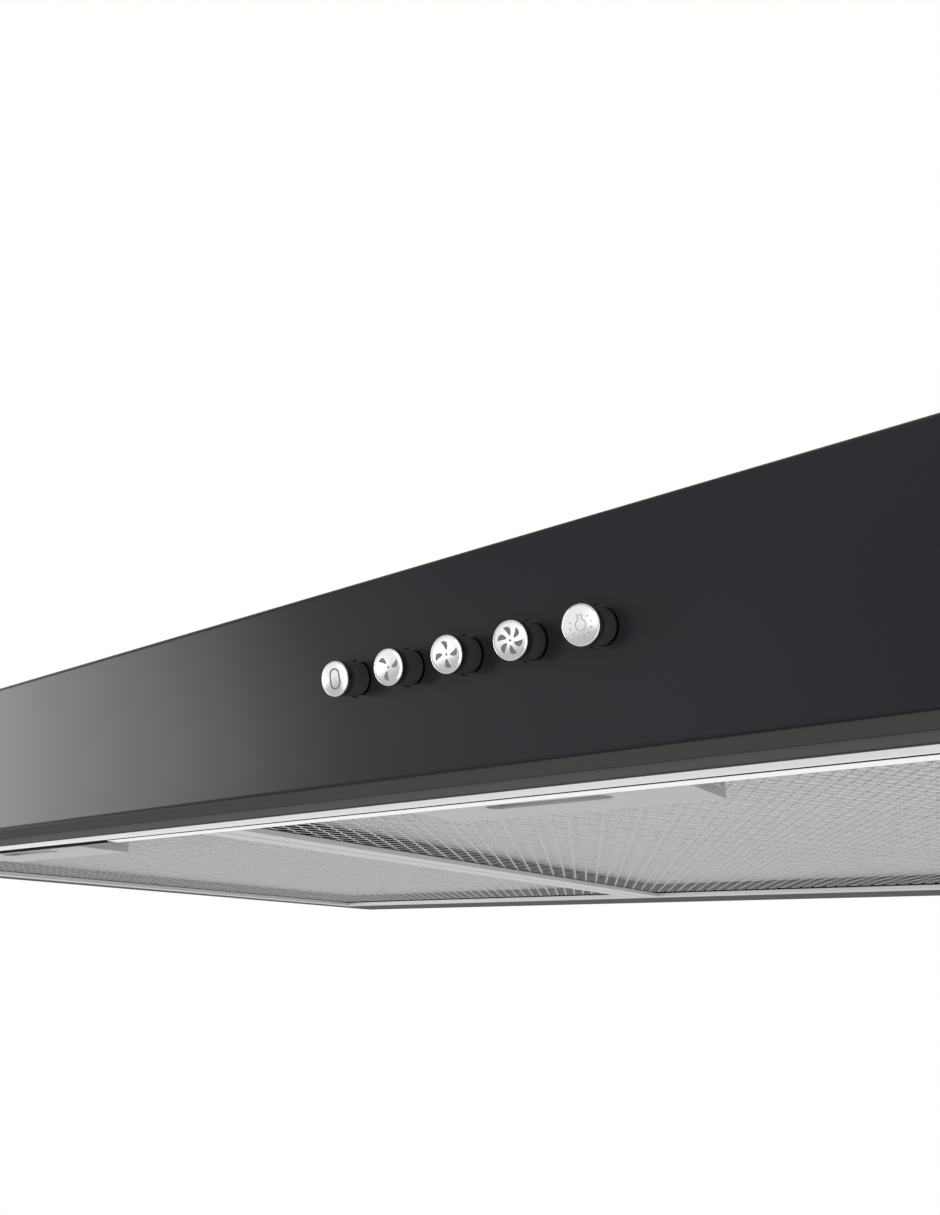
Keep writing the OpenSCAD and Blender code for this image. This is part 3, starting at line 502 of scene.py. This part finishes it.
def sign_fill(key, made):
    """The lacquer that fills a pressed sign: the sign's floor, raised by the fill's depth."""
    cap = nodes["cap_" + key].data
    level = min(v.co.dot(face_out) for v in cap.vertices) + sign_floor
    floor_faces = [face for face in cap.polygons if all(
        abs(cap.vertices[v].co.dot(face_out) - level) < same_level for v in face.vertices)]
    places, index, faces = [], {}, []
    for face in floor_faces:
        corners = []
        for v in face.vertices:
            at = tuple(round(c, 7) for c in cap.vertices[v].co)
            if at not in index:
                index[at] = len(places)
                places.append(cap.vertices[v].co.copy())
            corners.append(index[at])
        if len(set(corners)) == 3:
            faces.append(tuple(corners))
    n = len(places)
    new_piece("sign_" + key, [at + face_out * height for height in (fill_high, fill_low)
                              for at in places],
              faces + [tuple(n + k for k in reversed(f)) for f in faces]
              + [(b, a, n + a, n + b) for a, b in open_edges(faces)],
              made, "button_" + key)


sign_fill("stop", sign_grey)
sign_fill("light", sign_pale)

# The speed keys' caps are spun smooth, and their fans are printed in the dish
cap_r = 0.00513
cap_t = 0.0015
rim_round = 0.0003
dish_r = 0.00468
dish_edge = 0.00142
dish_deep = 0.00015
print_low = 0.000004
print_high = 0.00002
hub_dot = 0.07
blade_tip = 0.21
blade_lead = 0.72
blade_trail = 0.62
blade_crown = 0.03
tip_angle = -2
lead_angle = 22
trail_angle = -10
front_curve = 0.45
rear_curve = 0.6
rear_bulge = 12


def blade_outline():
    """A blade's outline, clockwise from its tip by the hub: (radius in cap radii, degrees)."""
    steps = 5
    shares = [k / steps for k in range(steps)]
    front = [(blade_tip + (blade_lead - blade_tip) * u,
              tip_angle + (lead_angle - tip_angle) * u ** front_curve) for u in shares]
    end = [(blade_lead + (blade_trail - blade_lead) * u + blade_crown * math.sin(math.pi * u),
            lead_angle + (trail_angle - lead_angle) * u) for u in shares]
    rear = [(blade_trail + (blade_tip - blade_trail) * u,
             trail_angle + (tip_angle - trail_angle) * u
             - rear_bulge * math.sin(math.pi * (1 - u) ** rear_curve)) for u in shares]
    return front + end + rear


def cap_middle(key):
    """The middle of a cap's back."""
    corners = [v.co for v in nodes["cap_" + key].data.vertices]
    x, rise = ((min(side) + max(side)) / 2
               for side in ([c.x for c in corners], [c.dot(face_up) for c in corners]))
    return Vector((x, 0, 0)) + face_up * rise + face_out * cap_back


def on_cap(middle, radius, degrees, height):
    """A place on a cap: out from its axis, round it from +X, and out from its back."""
    turn = math.radians(degrees)
    return (middle + Vector((radius * math.cos(turn), 0, 0))
            + face_up * radius * math.sin(turn) + face_out * height)


def dish_height(radius):
    return dish_edge - dish_deep * (1 - (radius / dish_r) ** 2)


def spun_cap(key):
    """The cap's profile turned round its axis, smooth all over but for its back."""
    around = 96
    steps = 12
    profile = [(cap_r, 0)] + [(cap_r - rim_round + rim_round * math.cos(math.radians(a)),
                               cap_t - rim_round + rim_round * math.sin(math.radians(a)))
                              for a in range(0, 91, 15)]
    profile += [(dish_r * k / steps, dish_height(dish_r * k / steps)) for k in range(steps, 0, -1)]
    middle = cap_middle(key)
    places = [on_cap(middle, radius, 360 * k / around, height)
              for radius, height in profile for k in range(around)]
    back, centre = len(places), len(places) + 1
    last = len(places) - around
    faces = []
    for k in range(around):
        m = (k + 1) % around
        faces += [(ring + k, ring + m, ring + around + m, ring + around + k)
                  for ring in range(0, last, around)]
        faces += [(m, k, back), (last + k, last + m, centre)]
    places += [middle, middle + face_out * dish_height(0)]
    cap = new_piece("spun_cap_" + key, places, faces, cap_metal, "button_" + key)
    for face in cap.data.polygons:
        face.use_smooth = back not in face.vertices
    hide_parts("cap_" + key)


def fan_print(key, blades, first):
    """Thin blades and a dot, printed in the dish. The first blade is turned by first degrees."""
    outlines = [[(hub_dot, a) for a in range(0, 360, 30)]]
    outlines += [[(radius, a + first + 360 * k / blades) for radius, a in blade_outline()[::-1]]
                 for k in range(blades)]
    middle = cap_middle(key)
    places, faces = [], []
    for outline in outlines:
        n, start = len(outline), len(places)
        places += [on_cap(middle, radius * cap_r, degrees, dish_height(radius * cap_r) + level)
                   for level in (print_high, print_low) for radius, degrees in outline]
        faces += [tuple(range(start, start + n)), tuple(reversed(range(start + n, start + 2 * n)))]
        faces += [(start + (k + 1) % n, start + k, start + n + k, start + n + (k + 1) % n)
                  for k in range(n)]
    new_piece("sign_" + key, places, faces, sign_grey, "button_" + key)


for key, blades, first in (("low", 3, 6), ("mid", 4, -3), ("high", 6, -28)):
    spun_cap(key)
    fan_print(key, blades, first)

# ---- Mesh filters --------------------------------------------------------------------
# Three cassettes that swing down. Each has a folded aluminium frame, a pressed handle
# with a finger slot, an outer sheet of expanded aluminium and finer layers behind it.

# Rolled sheet: fine lines along its length, with faint broad clouds
rolled, given, out = new_group("rolled_sheet", [
    ("Place", VECTOR, None), ("Lines", FLOAT, 900.0), ("Dark", COLOUR, None),
    ("Light", COLOUR, None), ("Low Gloss", FLOAT, 0.35), ("High Gloss", FLOAT, 0.5)],
    [("Colour", COLOUR), ("Roughness", FLOAT), ("Height", FLOAT)])
stretch = add(rolled, "ShaderNodeMapping", [("Vector", given["Place"]), ("Scale", (0.03, 1, 1))])
lines = noise(rolled, stretch.outputs[0], given["Lines"], 3.0)
cloud = noise(rolled, given["Place"], 14.0, 2.0)
half = maths(rolled, "MULTIPLY", maths(rolled, "ADD", lines, cloud), 0.5)
deliver(rolled, out, Height=lines,
        Colour=blend(rolled, spread(rolled, half, 0.0, 1.0), given["Dark"], given["Light"]),
        Roughness=spread(rolled, half, given["Low Gloss"], given["High Gloss"]))


def rolled_metal(name, dark, light, low, high, metallic=0.6, **other):
    return finish(material(name, light, low, metallic=metallic, **other), rolled,
                  {"Dark": (*dark, 1), "Light": (*light, 1), "Low Gloss": low, "High Gloss": high},
                  ["Colour", "Roughness"], 0.1, 0.00005)


frame_metal = rolled_metal("filter_frame_sheet", (0.54, 0.55, 0.54), (0.58, 0.59, 0.58),
                           0.42, 0.52, metallic=0.45, specular_ior_level=0.15)
handle_metal = rolled_metal("handle_sheet", (0.43, 0.44, 0.43), (0.47, 0.48, 0.47), 0.42, 0.52,
                            metallic=0.45)
mesh_metal = rolled_metal("expanded_sheet", (0.46, 0.47, 0.46), (0.50, 0.51, 0.50), 0.4, 0.5,
                          metallic=0.2)
# The fine layers are painted paler than the outer sheet: painted light that offsets the shade they
# lie in behind it
core_metal = rolled_metal("fine_layer", (0.63, 0.64, 0.63), (0.71, 0.72, 0.71), 0.45, 0.55,
                          metallic=0.15)
latch_metal = rolled_metal("latch_spring_steel", (0.66, 0.66, 0.66), (0.74, 0.74, 0.74), 0.35, 0.45)

# Inside, between the two meshes, the frame's wall is painted dark: painted shade where little light
# reaches
inner_shade, given, out = new_group("painted_shade_inside", [
    ("Place", VECTOR, None), ("Colour", COLOUR, None), ("Dark", COLOUR, None),
    ("Roughness", FLOAT, 0.5), ("Metallic", FLOAT, 0.45),
    ("Pitch", FLOAT, 0.3), ("Half Width", FLOAT, 0.15), ("Front", FLOAT, -0.3),
    ("Rear", FLOAT, 0.1), ("Low", FLOAT, 0.0), ("High", FLOAT, 0.0)],
    [("Colour", COLOUR), ("Roughness", FLOAT), ("Metallic", FLOAT)])
at = add(inner_shade, "ShaderNodeSeparateXYZ", [(0, given["Place"])]).outputs
half_pitch = maths(inner_shade, "MULTIPLY", given["Pitch"], 0.5)
from_middle = maths(inner_shade, "WRAP", at["X"], half_pitch,
                    maths(inner_shade, "MULTIPLY", half_pitch, -1.0))
off = maths(inner_shade, "ABSOLUTE", from_middle)
inside = 1.0
for kind, value, limit in (("LESS_THAN", off, "Half Width"), ("GREATER_THAN", at["Y"], "Front"),
                           ("LESS_THAN", at["Y"], "Rear"), ("GREATER_THAN", at["Z"], "Low"),
                           ("LESS_THAN", at["Z"], "High")):
    inside = maths(inner_shade, "MULTIPLY", inside, maths(inner_shade, kind, value, given[limit]))
deliver(inner_shade, out, Colour=blend(inner_shade, inside, given["Colour"], given["Dark"]),
        Roughness=blend(inner_shade, inside, given["Roughness"], 1.0, "FLOAT"),
        Metallic=blend(inner_shade, inside, given["Metallic"], 0.0, "FLOAT"))

sides = ("left", "middle", "right")
skin = 0.0004
core_edge = 0.0001
frame_low, frame_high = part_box("filter_middle_frame")
mesh_low, mesh_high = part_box("filter_middle_mesh")
core_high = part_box("filter_middle_core")[1]
# The frame's inner wall is painted near black and matt: painted shade between the meshes
insert(frame_metal, inner_shade, {
    "Dark": (0.004, 0.004, 0.004, 1), "Half Width": frame_high.x - skin,
    "Pitch": (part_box("filter_right_mesh")[0] - mesh_low).x, "Front": frame_low.y + skin,
    "Rear": mesh_high.y + skin, "Low": mesh_high.z, "High": core_high.z + core_edge},
    ["Colour", "Roughness", "Metallic"])

for side in sides:
    give(frame_metal, f"filter_{side}_frame")
    give(handle_metal, f"filter_{side}_handle")
    give(latch_metal, f"filter_{side}_latch")

# The handle's finger slot has its edge turned in as a collar, so that it isn't sharp
slot_long = 0.044
slot_wide = 0.0072
slot_back = 0.0008
collar_low = 0.00012
collar_high = 0.00117
collar_wall = 0.00022
collar_gap = 0.00002
# The collar is painted darker than the handle: painted shade inside the slot
collar_metal = rolled_metal("slot_collar", (0.32, 0.33, 0.32), (0.37, 0.38, 0.37), 0.5, 0.6,
                            metallic=0.3)


def slot_collar(side):
    """A rounded ring that lines the slot, from the handle's face up to the latch's lip."""
    low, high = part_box(f"filter_{side}_handle")
    centre = Vector(((low.x + high.x) / 2, low.y + slot_back + slot_wide / 2, low.z))
    round_steps = 12
    places = []
    for radius in (slot_wide / 2 - collar_gap, slot_wide / 2 - collar_wall):
        for level in (collar_low, collar_high):
            for end in (1, -1):
                for k in range(round_steps + 1):
                    turn = math.pi * (k / round_steps - 0.5)
                    places.append(centre + Vector((
                        end * ((slot_long - slot_wide) / 2 + radius * math.cos(turn)),
                        end * radius * math.sin(turn), level)))
    n = 2 * (round_steps + 1)
    faces = []
    for k in range(n):
        m = (k + 1) % n
        faces += [(k, m, n + m, n + k), (2 * n + m, 2 * n + k, 3 * n + k, 3 * n + m),
                  (n + k, n + m, 3 * n + m, 3 * n + k), (m, k, 2 * n + k, 2 * n + m)]
    new_piece(f"filter_{side}_slot_collar", places, faces, collar_metal, f"filter_{side}")


for side in sides:
    slot_collar(side)


def expanded_sheet():
    """Geometry nodes: strands that wave along Y and meet their neighbours at short bonds."""
    group = bpy.data.node_groups.new("expanded_sheet", "GeometryNodeTree")
    for label, kind, value in [
            ("Low X", FLOAT, 0.0), ("Low Y", FLOAT, 0.0), ("Middle Z", FLOAT, 0.0),
            ("Strands", "NodeSocketInt", 10), ("Rows", "NodeSocketInt", 10),
            ("Steps", "NodeSocketInt", 4),
            ("Cell Width", FLOAT, 0.007), ("Cell Length", FLOAT, 0.01254),
            ("Bond", FLOAT, 0.0018), ("Strand Width", FLOAT, 0.001),
            ("Strand Thickness", FLOAT, 0.0003), ("Rise", FLOAT, 0.0003), ("Tilt", FLOAT, 0.5),
            ("Handle Low", VECTOR, None), ("Handle High", VECTOR, None),
            ("Material", "NodeSocketMaterial", None)]:
        socket = group.interface.new_socket(label, in_out="INPUT", socket_type=kind)
        if value is not None:
            socket.default_value = value
    group.interface.new_socket("Geometry", in_out="OUTPUT", socket_type="NodeSocketGeometry")
    given = group.nodes.new("NodeGroupInput").outputs
    out = group.nodes.new("NodeGroupOutput")

    def of(kind, *values):
        return maths(group, kind, *values)

    index = add(group, "GeometryNodeInputIndex").outputs[0]
    # Each cell of a strand has two bonds, with Steps points from one bond to the next
    per_cell = of("MULTIPLY", given["Steps"], 2.0)
    per_strand = of("MULTIPLY", given["Rows"], per_cell)
    strand = of("FLOOR", of("DIVIDE", of("ADD", index, 0.5), per_strand))
    step = of("SUBTRACT", index, of("MULTIPLY", strand, per_strand))
    row = of("FLOOR", of("DIVIDE", of("ADD", step, 0.5), per_cell))
    point = of("SUBTRACT", step, of("MULTIPLY", row, per_cell))
    second = of("GREATER_THAN", point, of("SUBTRACT", given["Steps"], 0.5))
    point = of("SUBTRACT", point, of("MULTIPLY", second, given["Steps"]))
    after = of("MAXIMUM", of("SUBTRACT", point, 1.0), 0.0)
    share = of("DIVIDE", after, of("SUBTRACT", given["Steps"], 1.0))
    odd_strand = of("GREATER_THAN", of("MODULO", strand, 2.0), 0.5)
    differ = of("ABSOLUTE", of("SUBTRACT", second, odd_strand))
    side = of("SUBTRACT", 1.0, of("MULTIPLY", differ, 2.0))
    wave = of("MULTIPLY", side, of("COSINE", of("MULTIPLY", share, math.pi)))
    pitch = of("MULTIPLY", given["Cell Width"], 0.5)
    # At a bond, two strands overlap by a sixth of their width
    off_bond = of("MULTIPLY", given["Strand Width"], 0.42)
    swing = of("SUBTRACT", of("MULTIPLY", pitch, 0.5), off_bond)
    x = of("ADD", given["Low X"], of("MULTIPLY_ADD", strand, pitch, of("MULTIPLY", wave, swing)))
    run = of("SUBTRACT", of("MULTIPLY", given["Cell Length"], 0.5), given["Bond"])
    in_bond = of("SUBTRACT", of("MINIMUM", point, 1.0), 0.5)
    along = of("ADD", row, of("MULTIPLY", second, 0.5))
    y = of("ADD", of("MULTIPLY_ADD", along, given["Cell Length"], given["Low Y"]),
           of("MULTIPLY_ADD", in_bond, given["Bond"], of("MULTIPLY", share, run)))
    z = of("SUBTRACT", given["Middle Z"], of("MULTIPLY", wave, given["Rise"]))
    place = add(group, "ShaderNodeCombineXYZ", [("X", x), ("Y", y), ("Z", z)]).outputs[0]
    points = add(group, "GeometryNodePoints", [("Position", place),
                 ("Count", of("MULTIPLY", given["Strands"], per_strand))]).outputs[0]
    # The strands stop short of the handle
    low = add(group, "ShaderNodeSeparateXYZ", [(0, given["Handle Low"])]).outputs
    high = add(group, "ShaderNodeSeparateXYZ", [(0, given["Handle High"])]).outputs
    at = add(group, "ShaderNodeSeparateXYZ",
             [(0, add(group, "GeometryNodeInputPosition").outputs[0])]).outputs
    inside = 1.0
    for kind, value, limit in (("GREATER_THAN", at["X"], low["X"]),
                               ("LESS_THAN", at["X"], high["X"]),
                               ("LESS_THAN", at["Y"], high["Y"])):
        inside = of("MULTIPLY", inside, of(kind, value, limit))
    numbered = add(group, "GeometryNodeStoreNamedAttribute",
                   [("Geometry", points), ("Name", "strand"), ("Value", strand)],
                   data_type="FLOAT", domain="POINT")
    kept = add(group, "GeometryNodeDeleteGeometry", [("Geometry", numbered.outputs[0]),
               ("Selection", inside)], domain="POINT")
    named = add(group, "GeometryNodeInputNamedAttribute", [("Name", "strand")], data_type="FLOAT")
    lines = add(group, "GeometryNodePointsToCurves", [("Points", kept.outputs[0]),
                ("Curve Group ID", named.outputs[0])])
    upright = add(group, "GeometryNodeSetCurveNormal", [("Curve", lines.outputs[0])],
                  mode="Z_UP")
    tilted = add(group, "GeometryNodeSetCurveTilt", [("Curve", upright.outputs[0]),
                 ("Tilt", given["Tilt"])])
    section = add(group, "GeometryNodeCurvePrimitiveQuadrilateral",
                  [("Width", given["Strand Width"]), ("Height", given["Strand Thickness"])])
    solid = add(group, "GeometryNodeCurveToMesh", [("Curve", tilted.outputs[0]),
                ("Profile Curve", section.outputs[0]), ("Fill Caps", True)])
    real = add(group, "GeometryNodeRealizeInstances", [("Geometry", solid.outputs[0])])
    shaded = add(group, "GeometryNodeSetMaterial", [("Geometry", real.outputs[0]),
                 ("Material", given["Material"])])
    group.links.new(shaded.outputs[0], out.inputs["Geometry"])
    return group


def grown(name, group, values, body):
    """Runs a geometry tree once, and keeps the result as a plain mesh on its body."""
    holder = put(name + "_maker", bpy.data.meshes.new(name + "_maker"))
    modifier = holder.modifiers.new("make", "NODES")
    modifier.node_group = group
    for item in group.interface.items_tree:
        if item.in_out == "INPUT":
            modifier[item.identifier] = values[item.name]
    holder.update_tag()
    graph = bpy.context.evaluated_depsgraph_get()
    mesh = bpy.data.meshes.new_from_object(holder.evaluated_get(graph), depsgraph=graph)
    mesh.name = name
    bpy.data.objects.remove(holder)
    piece = put(name, mesh)
    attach(piece, body)
    return piece


foil_depth = 0.0003
ripple = 0.00012
ripple_step = 0.0035
ripple_across = 690
ripple_along = 610
ripple_bend = 205
ripple_sway = 1.4
ripple_shift = 0.8


def crumpled_sheet(name, low, high, grip_low, grip_high, body):
    """The layers' foil: a thin sheet with shallow ripples, notched round the handle."""
    across = round((high.x - low.x) / ripple_step)
    along = round((high.y - low.y) / ripple_step)
    dx, dy = (high.x - low.x) / across, (high.y - low.y) / along
    places = []
    for level, depth in ((high.z - foil_depth, ripple), (high.z, 0.0)):
        for i in range(across + 1):
            for j in range(along + 1):
                x, y = low.x + i * dx, low.y + j * dy
                wave = (math.sin(x * ripple_across + ripple_sway * math.sin(y * ripple_bend))
                        * math.sin(y * ripple_along + ripple_shift))
                places.append((x, y, level + depth * wave))
    rows, layer = along + 1, (across + 1) * (along + 1)
    faces = []
    for i in range(across):
        for j in range(along):
            x, y = low.x + (i + 0.5) * dx, low.y + (j + 0.5) * dy
            if grip_low.x - dx < x < grip_high.x + dx and y < grip_high.y + dy:
                continue
            a, b = i * rows + j, (i + 1) * rows + j
            faces += [(a, a + 1, b + 1, b), (layer + a, layer + b, layer + b + 1, layer + a + 1)]
    rims = [(b, a, layer + a, layer + b) for a, b in open_edges(faces) if a < layer]
    return new_piece(name, places, faces + rims, core_metal, body)


sheet_tree = expanded_sheet()
outer_cell = (0.007, 0.01254)
fine_cell = (0.0052, 0.0093)
first_row = 0.002
bond = 0.0018
strand_width = 0.00062
strand_thick = 0.0001
strand_rise = 0.00004
strand_tilt = -0.08
fine_margin = 0.0045
fine_lift = 0.0007
fine_drop = 0.0006
fine_scale = 0.8
grip_side = Vector((0.0003, 0, 0))
grip_back = Vector((0, 0.0006, 0))


def mesh_layer(side, label, cell, level, margin, scale, steps, made):
    """One sheet of expanded metal in a filter, with cells of the given width and length."""
    low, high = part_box(f"filter_{side}_mesh")
    grip_low, grip_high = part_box(f"filter_{side}_handle")
    wide, long = cell
    return grown(f"filter_{side}_{label}", sheet_tree, {
        "Low X": low.x + margin + wide / 4, "Low Y": low.y + first_row, "Middle Z": level,
        "Strands": int((high.x - low.x - 2 * margin) / (wide / 2)), "Steps": steps,
        "Rows": int((high.y - low.y - first_row) / long),
        "Cell Width": wide, "Cell Length": long, "Bond": bond * scale,
        "Strand Width": strand_width * scale, "Strand Thickness": strand_thick,
        "Rise": strand_rise, "Tilt": strand_tilt, "Handle Low": grip_low - grip_side,
        "Handle High": grip_high + grip_side + grip_back, "Material": made},
        f"filter_{side}")


for side in sides:
    foil_low, foil_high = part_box(f"filter_{side}_core")
    foil_low.x += fine_margin
    foil_high.x -= fine_margin
    foil_high.z += fine_lift
    foil = crumpled_sheet(f"filter_{side}_fine_foil", foil_low, foil_high,
                          *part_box(f"filter_{side}_handle"), f"filter_{side}")
    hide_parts(f"filter_{side}_core")
    outer = mesh_layer(side, "outer_mesh", outer_cell, (mesh_low.z + mesh_high.z) / 2,
                       0.0, 1.0, 4, mesh_metal)
    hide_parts(f"filter_{side}_mesh")
    mesh_layer(side, "fine_mesh", fine_cell, core_high.z + fine_lift - fine_drop,
               fine_margin, fine_scale, 2, core_metal)

# ---- Blower --------------------------------------------------------------------------
# A moulded scroll screwed under the top, closed below by a zinc coated cover with a
# rolled inlet mouth. The wheel is folded from zinc coated sheet on the motor's shaft.

# Zinc coat: flat flakes that differ in tone and gloss
spangled, given, out = new_group("zinc_coat", [
    ("Place", VECTOR, None), ("Flakes", FLOAT, 120.0), ("Dark", COLOUR, None),
    ("Light", COLOUR, None)], [("Colour", COLOUR), ("Roughness", FLOAT), ("Height", FLOAT)])
flakes = add(spangled, "ShaderNodeTexVoronoi", [("Vector", given["Place"]),
             ("Scale", given["Flakes"])])
grey = add(spangled, "ShaderNodeSeparateColor", [("Color", flakes.outputs["Color"])]).outputs
deliver(spangled, out, Height=grey[2],
        Colour=blend(spangled, grey[0], given["Dark"], given["Light"]),
        Roughness=add(spangled, "ShaderNodeMapRange", [("Value", grey[1]), ("To Min", 0.3),
                      ("To Max", 0.48)]).outputs[0])


def zinc(name, dark, light, flakes):
    return finish(material(name, light, 0.4, metallic=0.85), spangled,
                  {"Dark": (*dark, 1), "Light": (*light, 1), "Flakes": flakes},
                  ["Colour", "Roughness"], 0.04, 0.0001)


zinc_sheet = zinc("zinc_coated_sheet", (0.52, 0.53, 0.54), (0.62, 0.63, 0.64), 160.0)
give(zinc_sheet, "inlet_cover", "inlet_mouth", "fan_wheel", "fan_blades", "fan_ring")
scroll_moulding = sprayed("grey_scroll_moulding", (0.07, 0.07, 0.075), (0.09, 0.09, 0.095),
                          0.5, 0.6, 1500.0, 0.25)
give(scroll_moulding, "scroll_housing")
screw_metal = rolled_metal("zinc_plated_screw", (0.55, 0.55, 0.55), (0.62, 0.62, 0.62), 0.25, 0.35,
                           metallic=0.9)
give(screw_metal, "cover_screws", "motor_shaft", "wheel_nut")
motor_coat = sprayed("grey_motor_lacquer", (0.16, 0.16, 0.165), (0.2, 0.2, 0.205), 0.4, 0.5,
                     2200.0, 0.2)
give(motor_coat, "motor")
rubber = sprayed("soft_rubber", (0.012, 0.012, 0.012), (0.017, 0.017, 0.017), 0.75, 0.85,
                 2600.0, 0.3, specular_ior_level=0.3)
give(rubber, "motor_mounts")
can_metal = rolled_metal("drawn_can", (0.62, 0.62, 0.63), (0.68, 0.68, 0.69), 0.25, 0.35,
                         metallic=0.8)
give(can_metal, "capacitor")

# ---- Duct collar and damper ----------------------------------------------------------
# A zinc coated collar for a 150 mm duct, held by four screws. Two half-round flaps hang
# on a steel rod across it, and lift as the blower runs.
collar_zinc = zinc("zinc_coated_collar", (0.5, 0.51, 0.52), (0.6, 0.61, 0.62), 110.0)
give(collar_zinc, "duct_collar", "damper_front", "damper_rear")
give(screw_metal, "damper_rod", "collar_screws")

# ---- Wiring --------------------------------------------------------------------------
# A rubber bushing for the supply cable, a zinc coated box with the terminal block, the
# lamp driver, and the switch bank on its bracket behind the panel.
white_moulding = sprayed("white_moulding", (0.76, 0.76, 0.73), (0.8, 0.8, 0.77), 0.4, 0.5,
                         3000.0, 0.1)
black_moulding = sprayed("black_moulding", (0.018, 0.018, 0.018), (0.024, 0.024, 0.024),
                         0.45, 0.55, 2400.0, 0.2)
give(rubber, "cable_bushing")
give(zinc_sheet, "wiring_box", "switch_bracket")
give(white_moulding, "terminal_block", "led_driver")
give(black_moulding, "switch_housing")
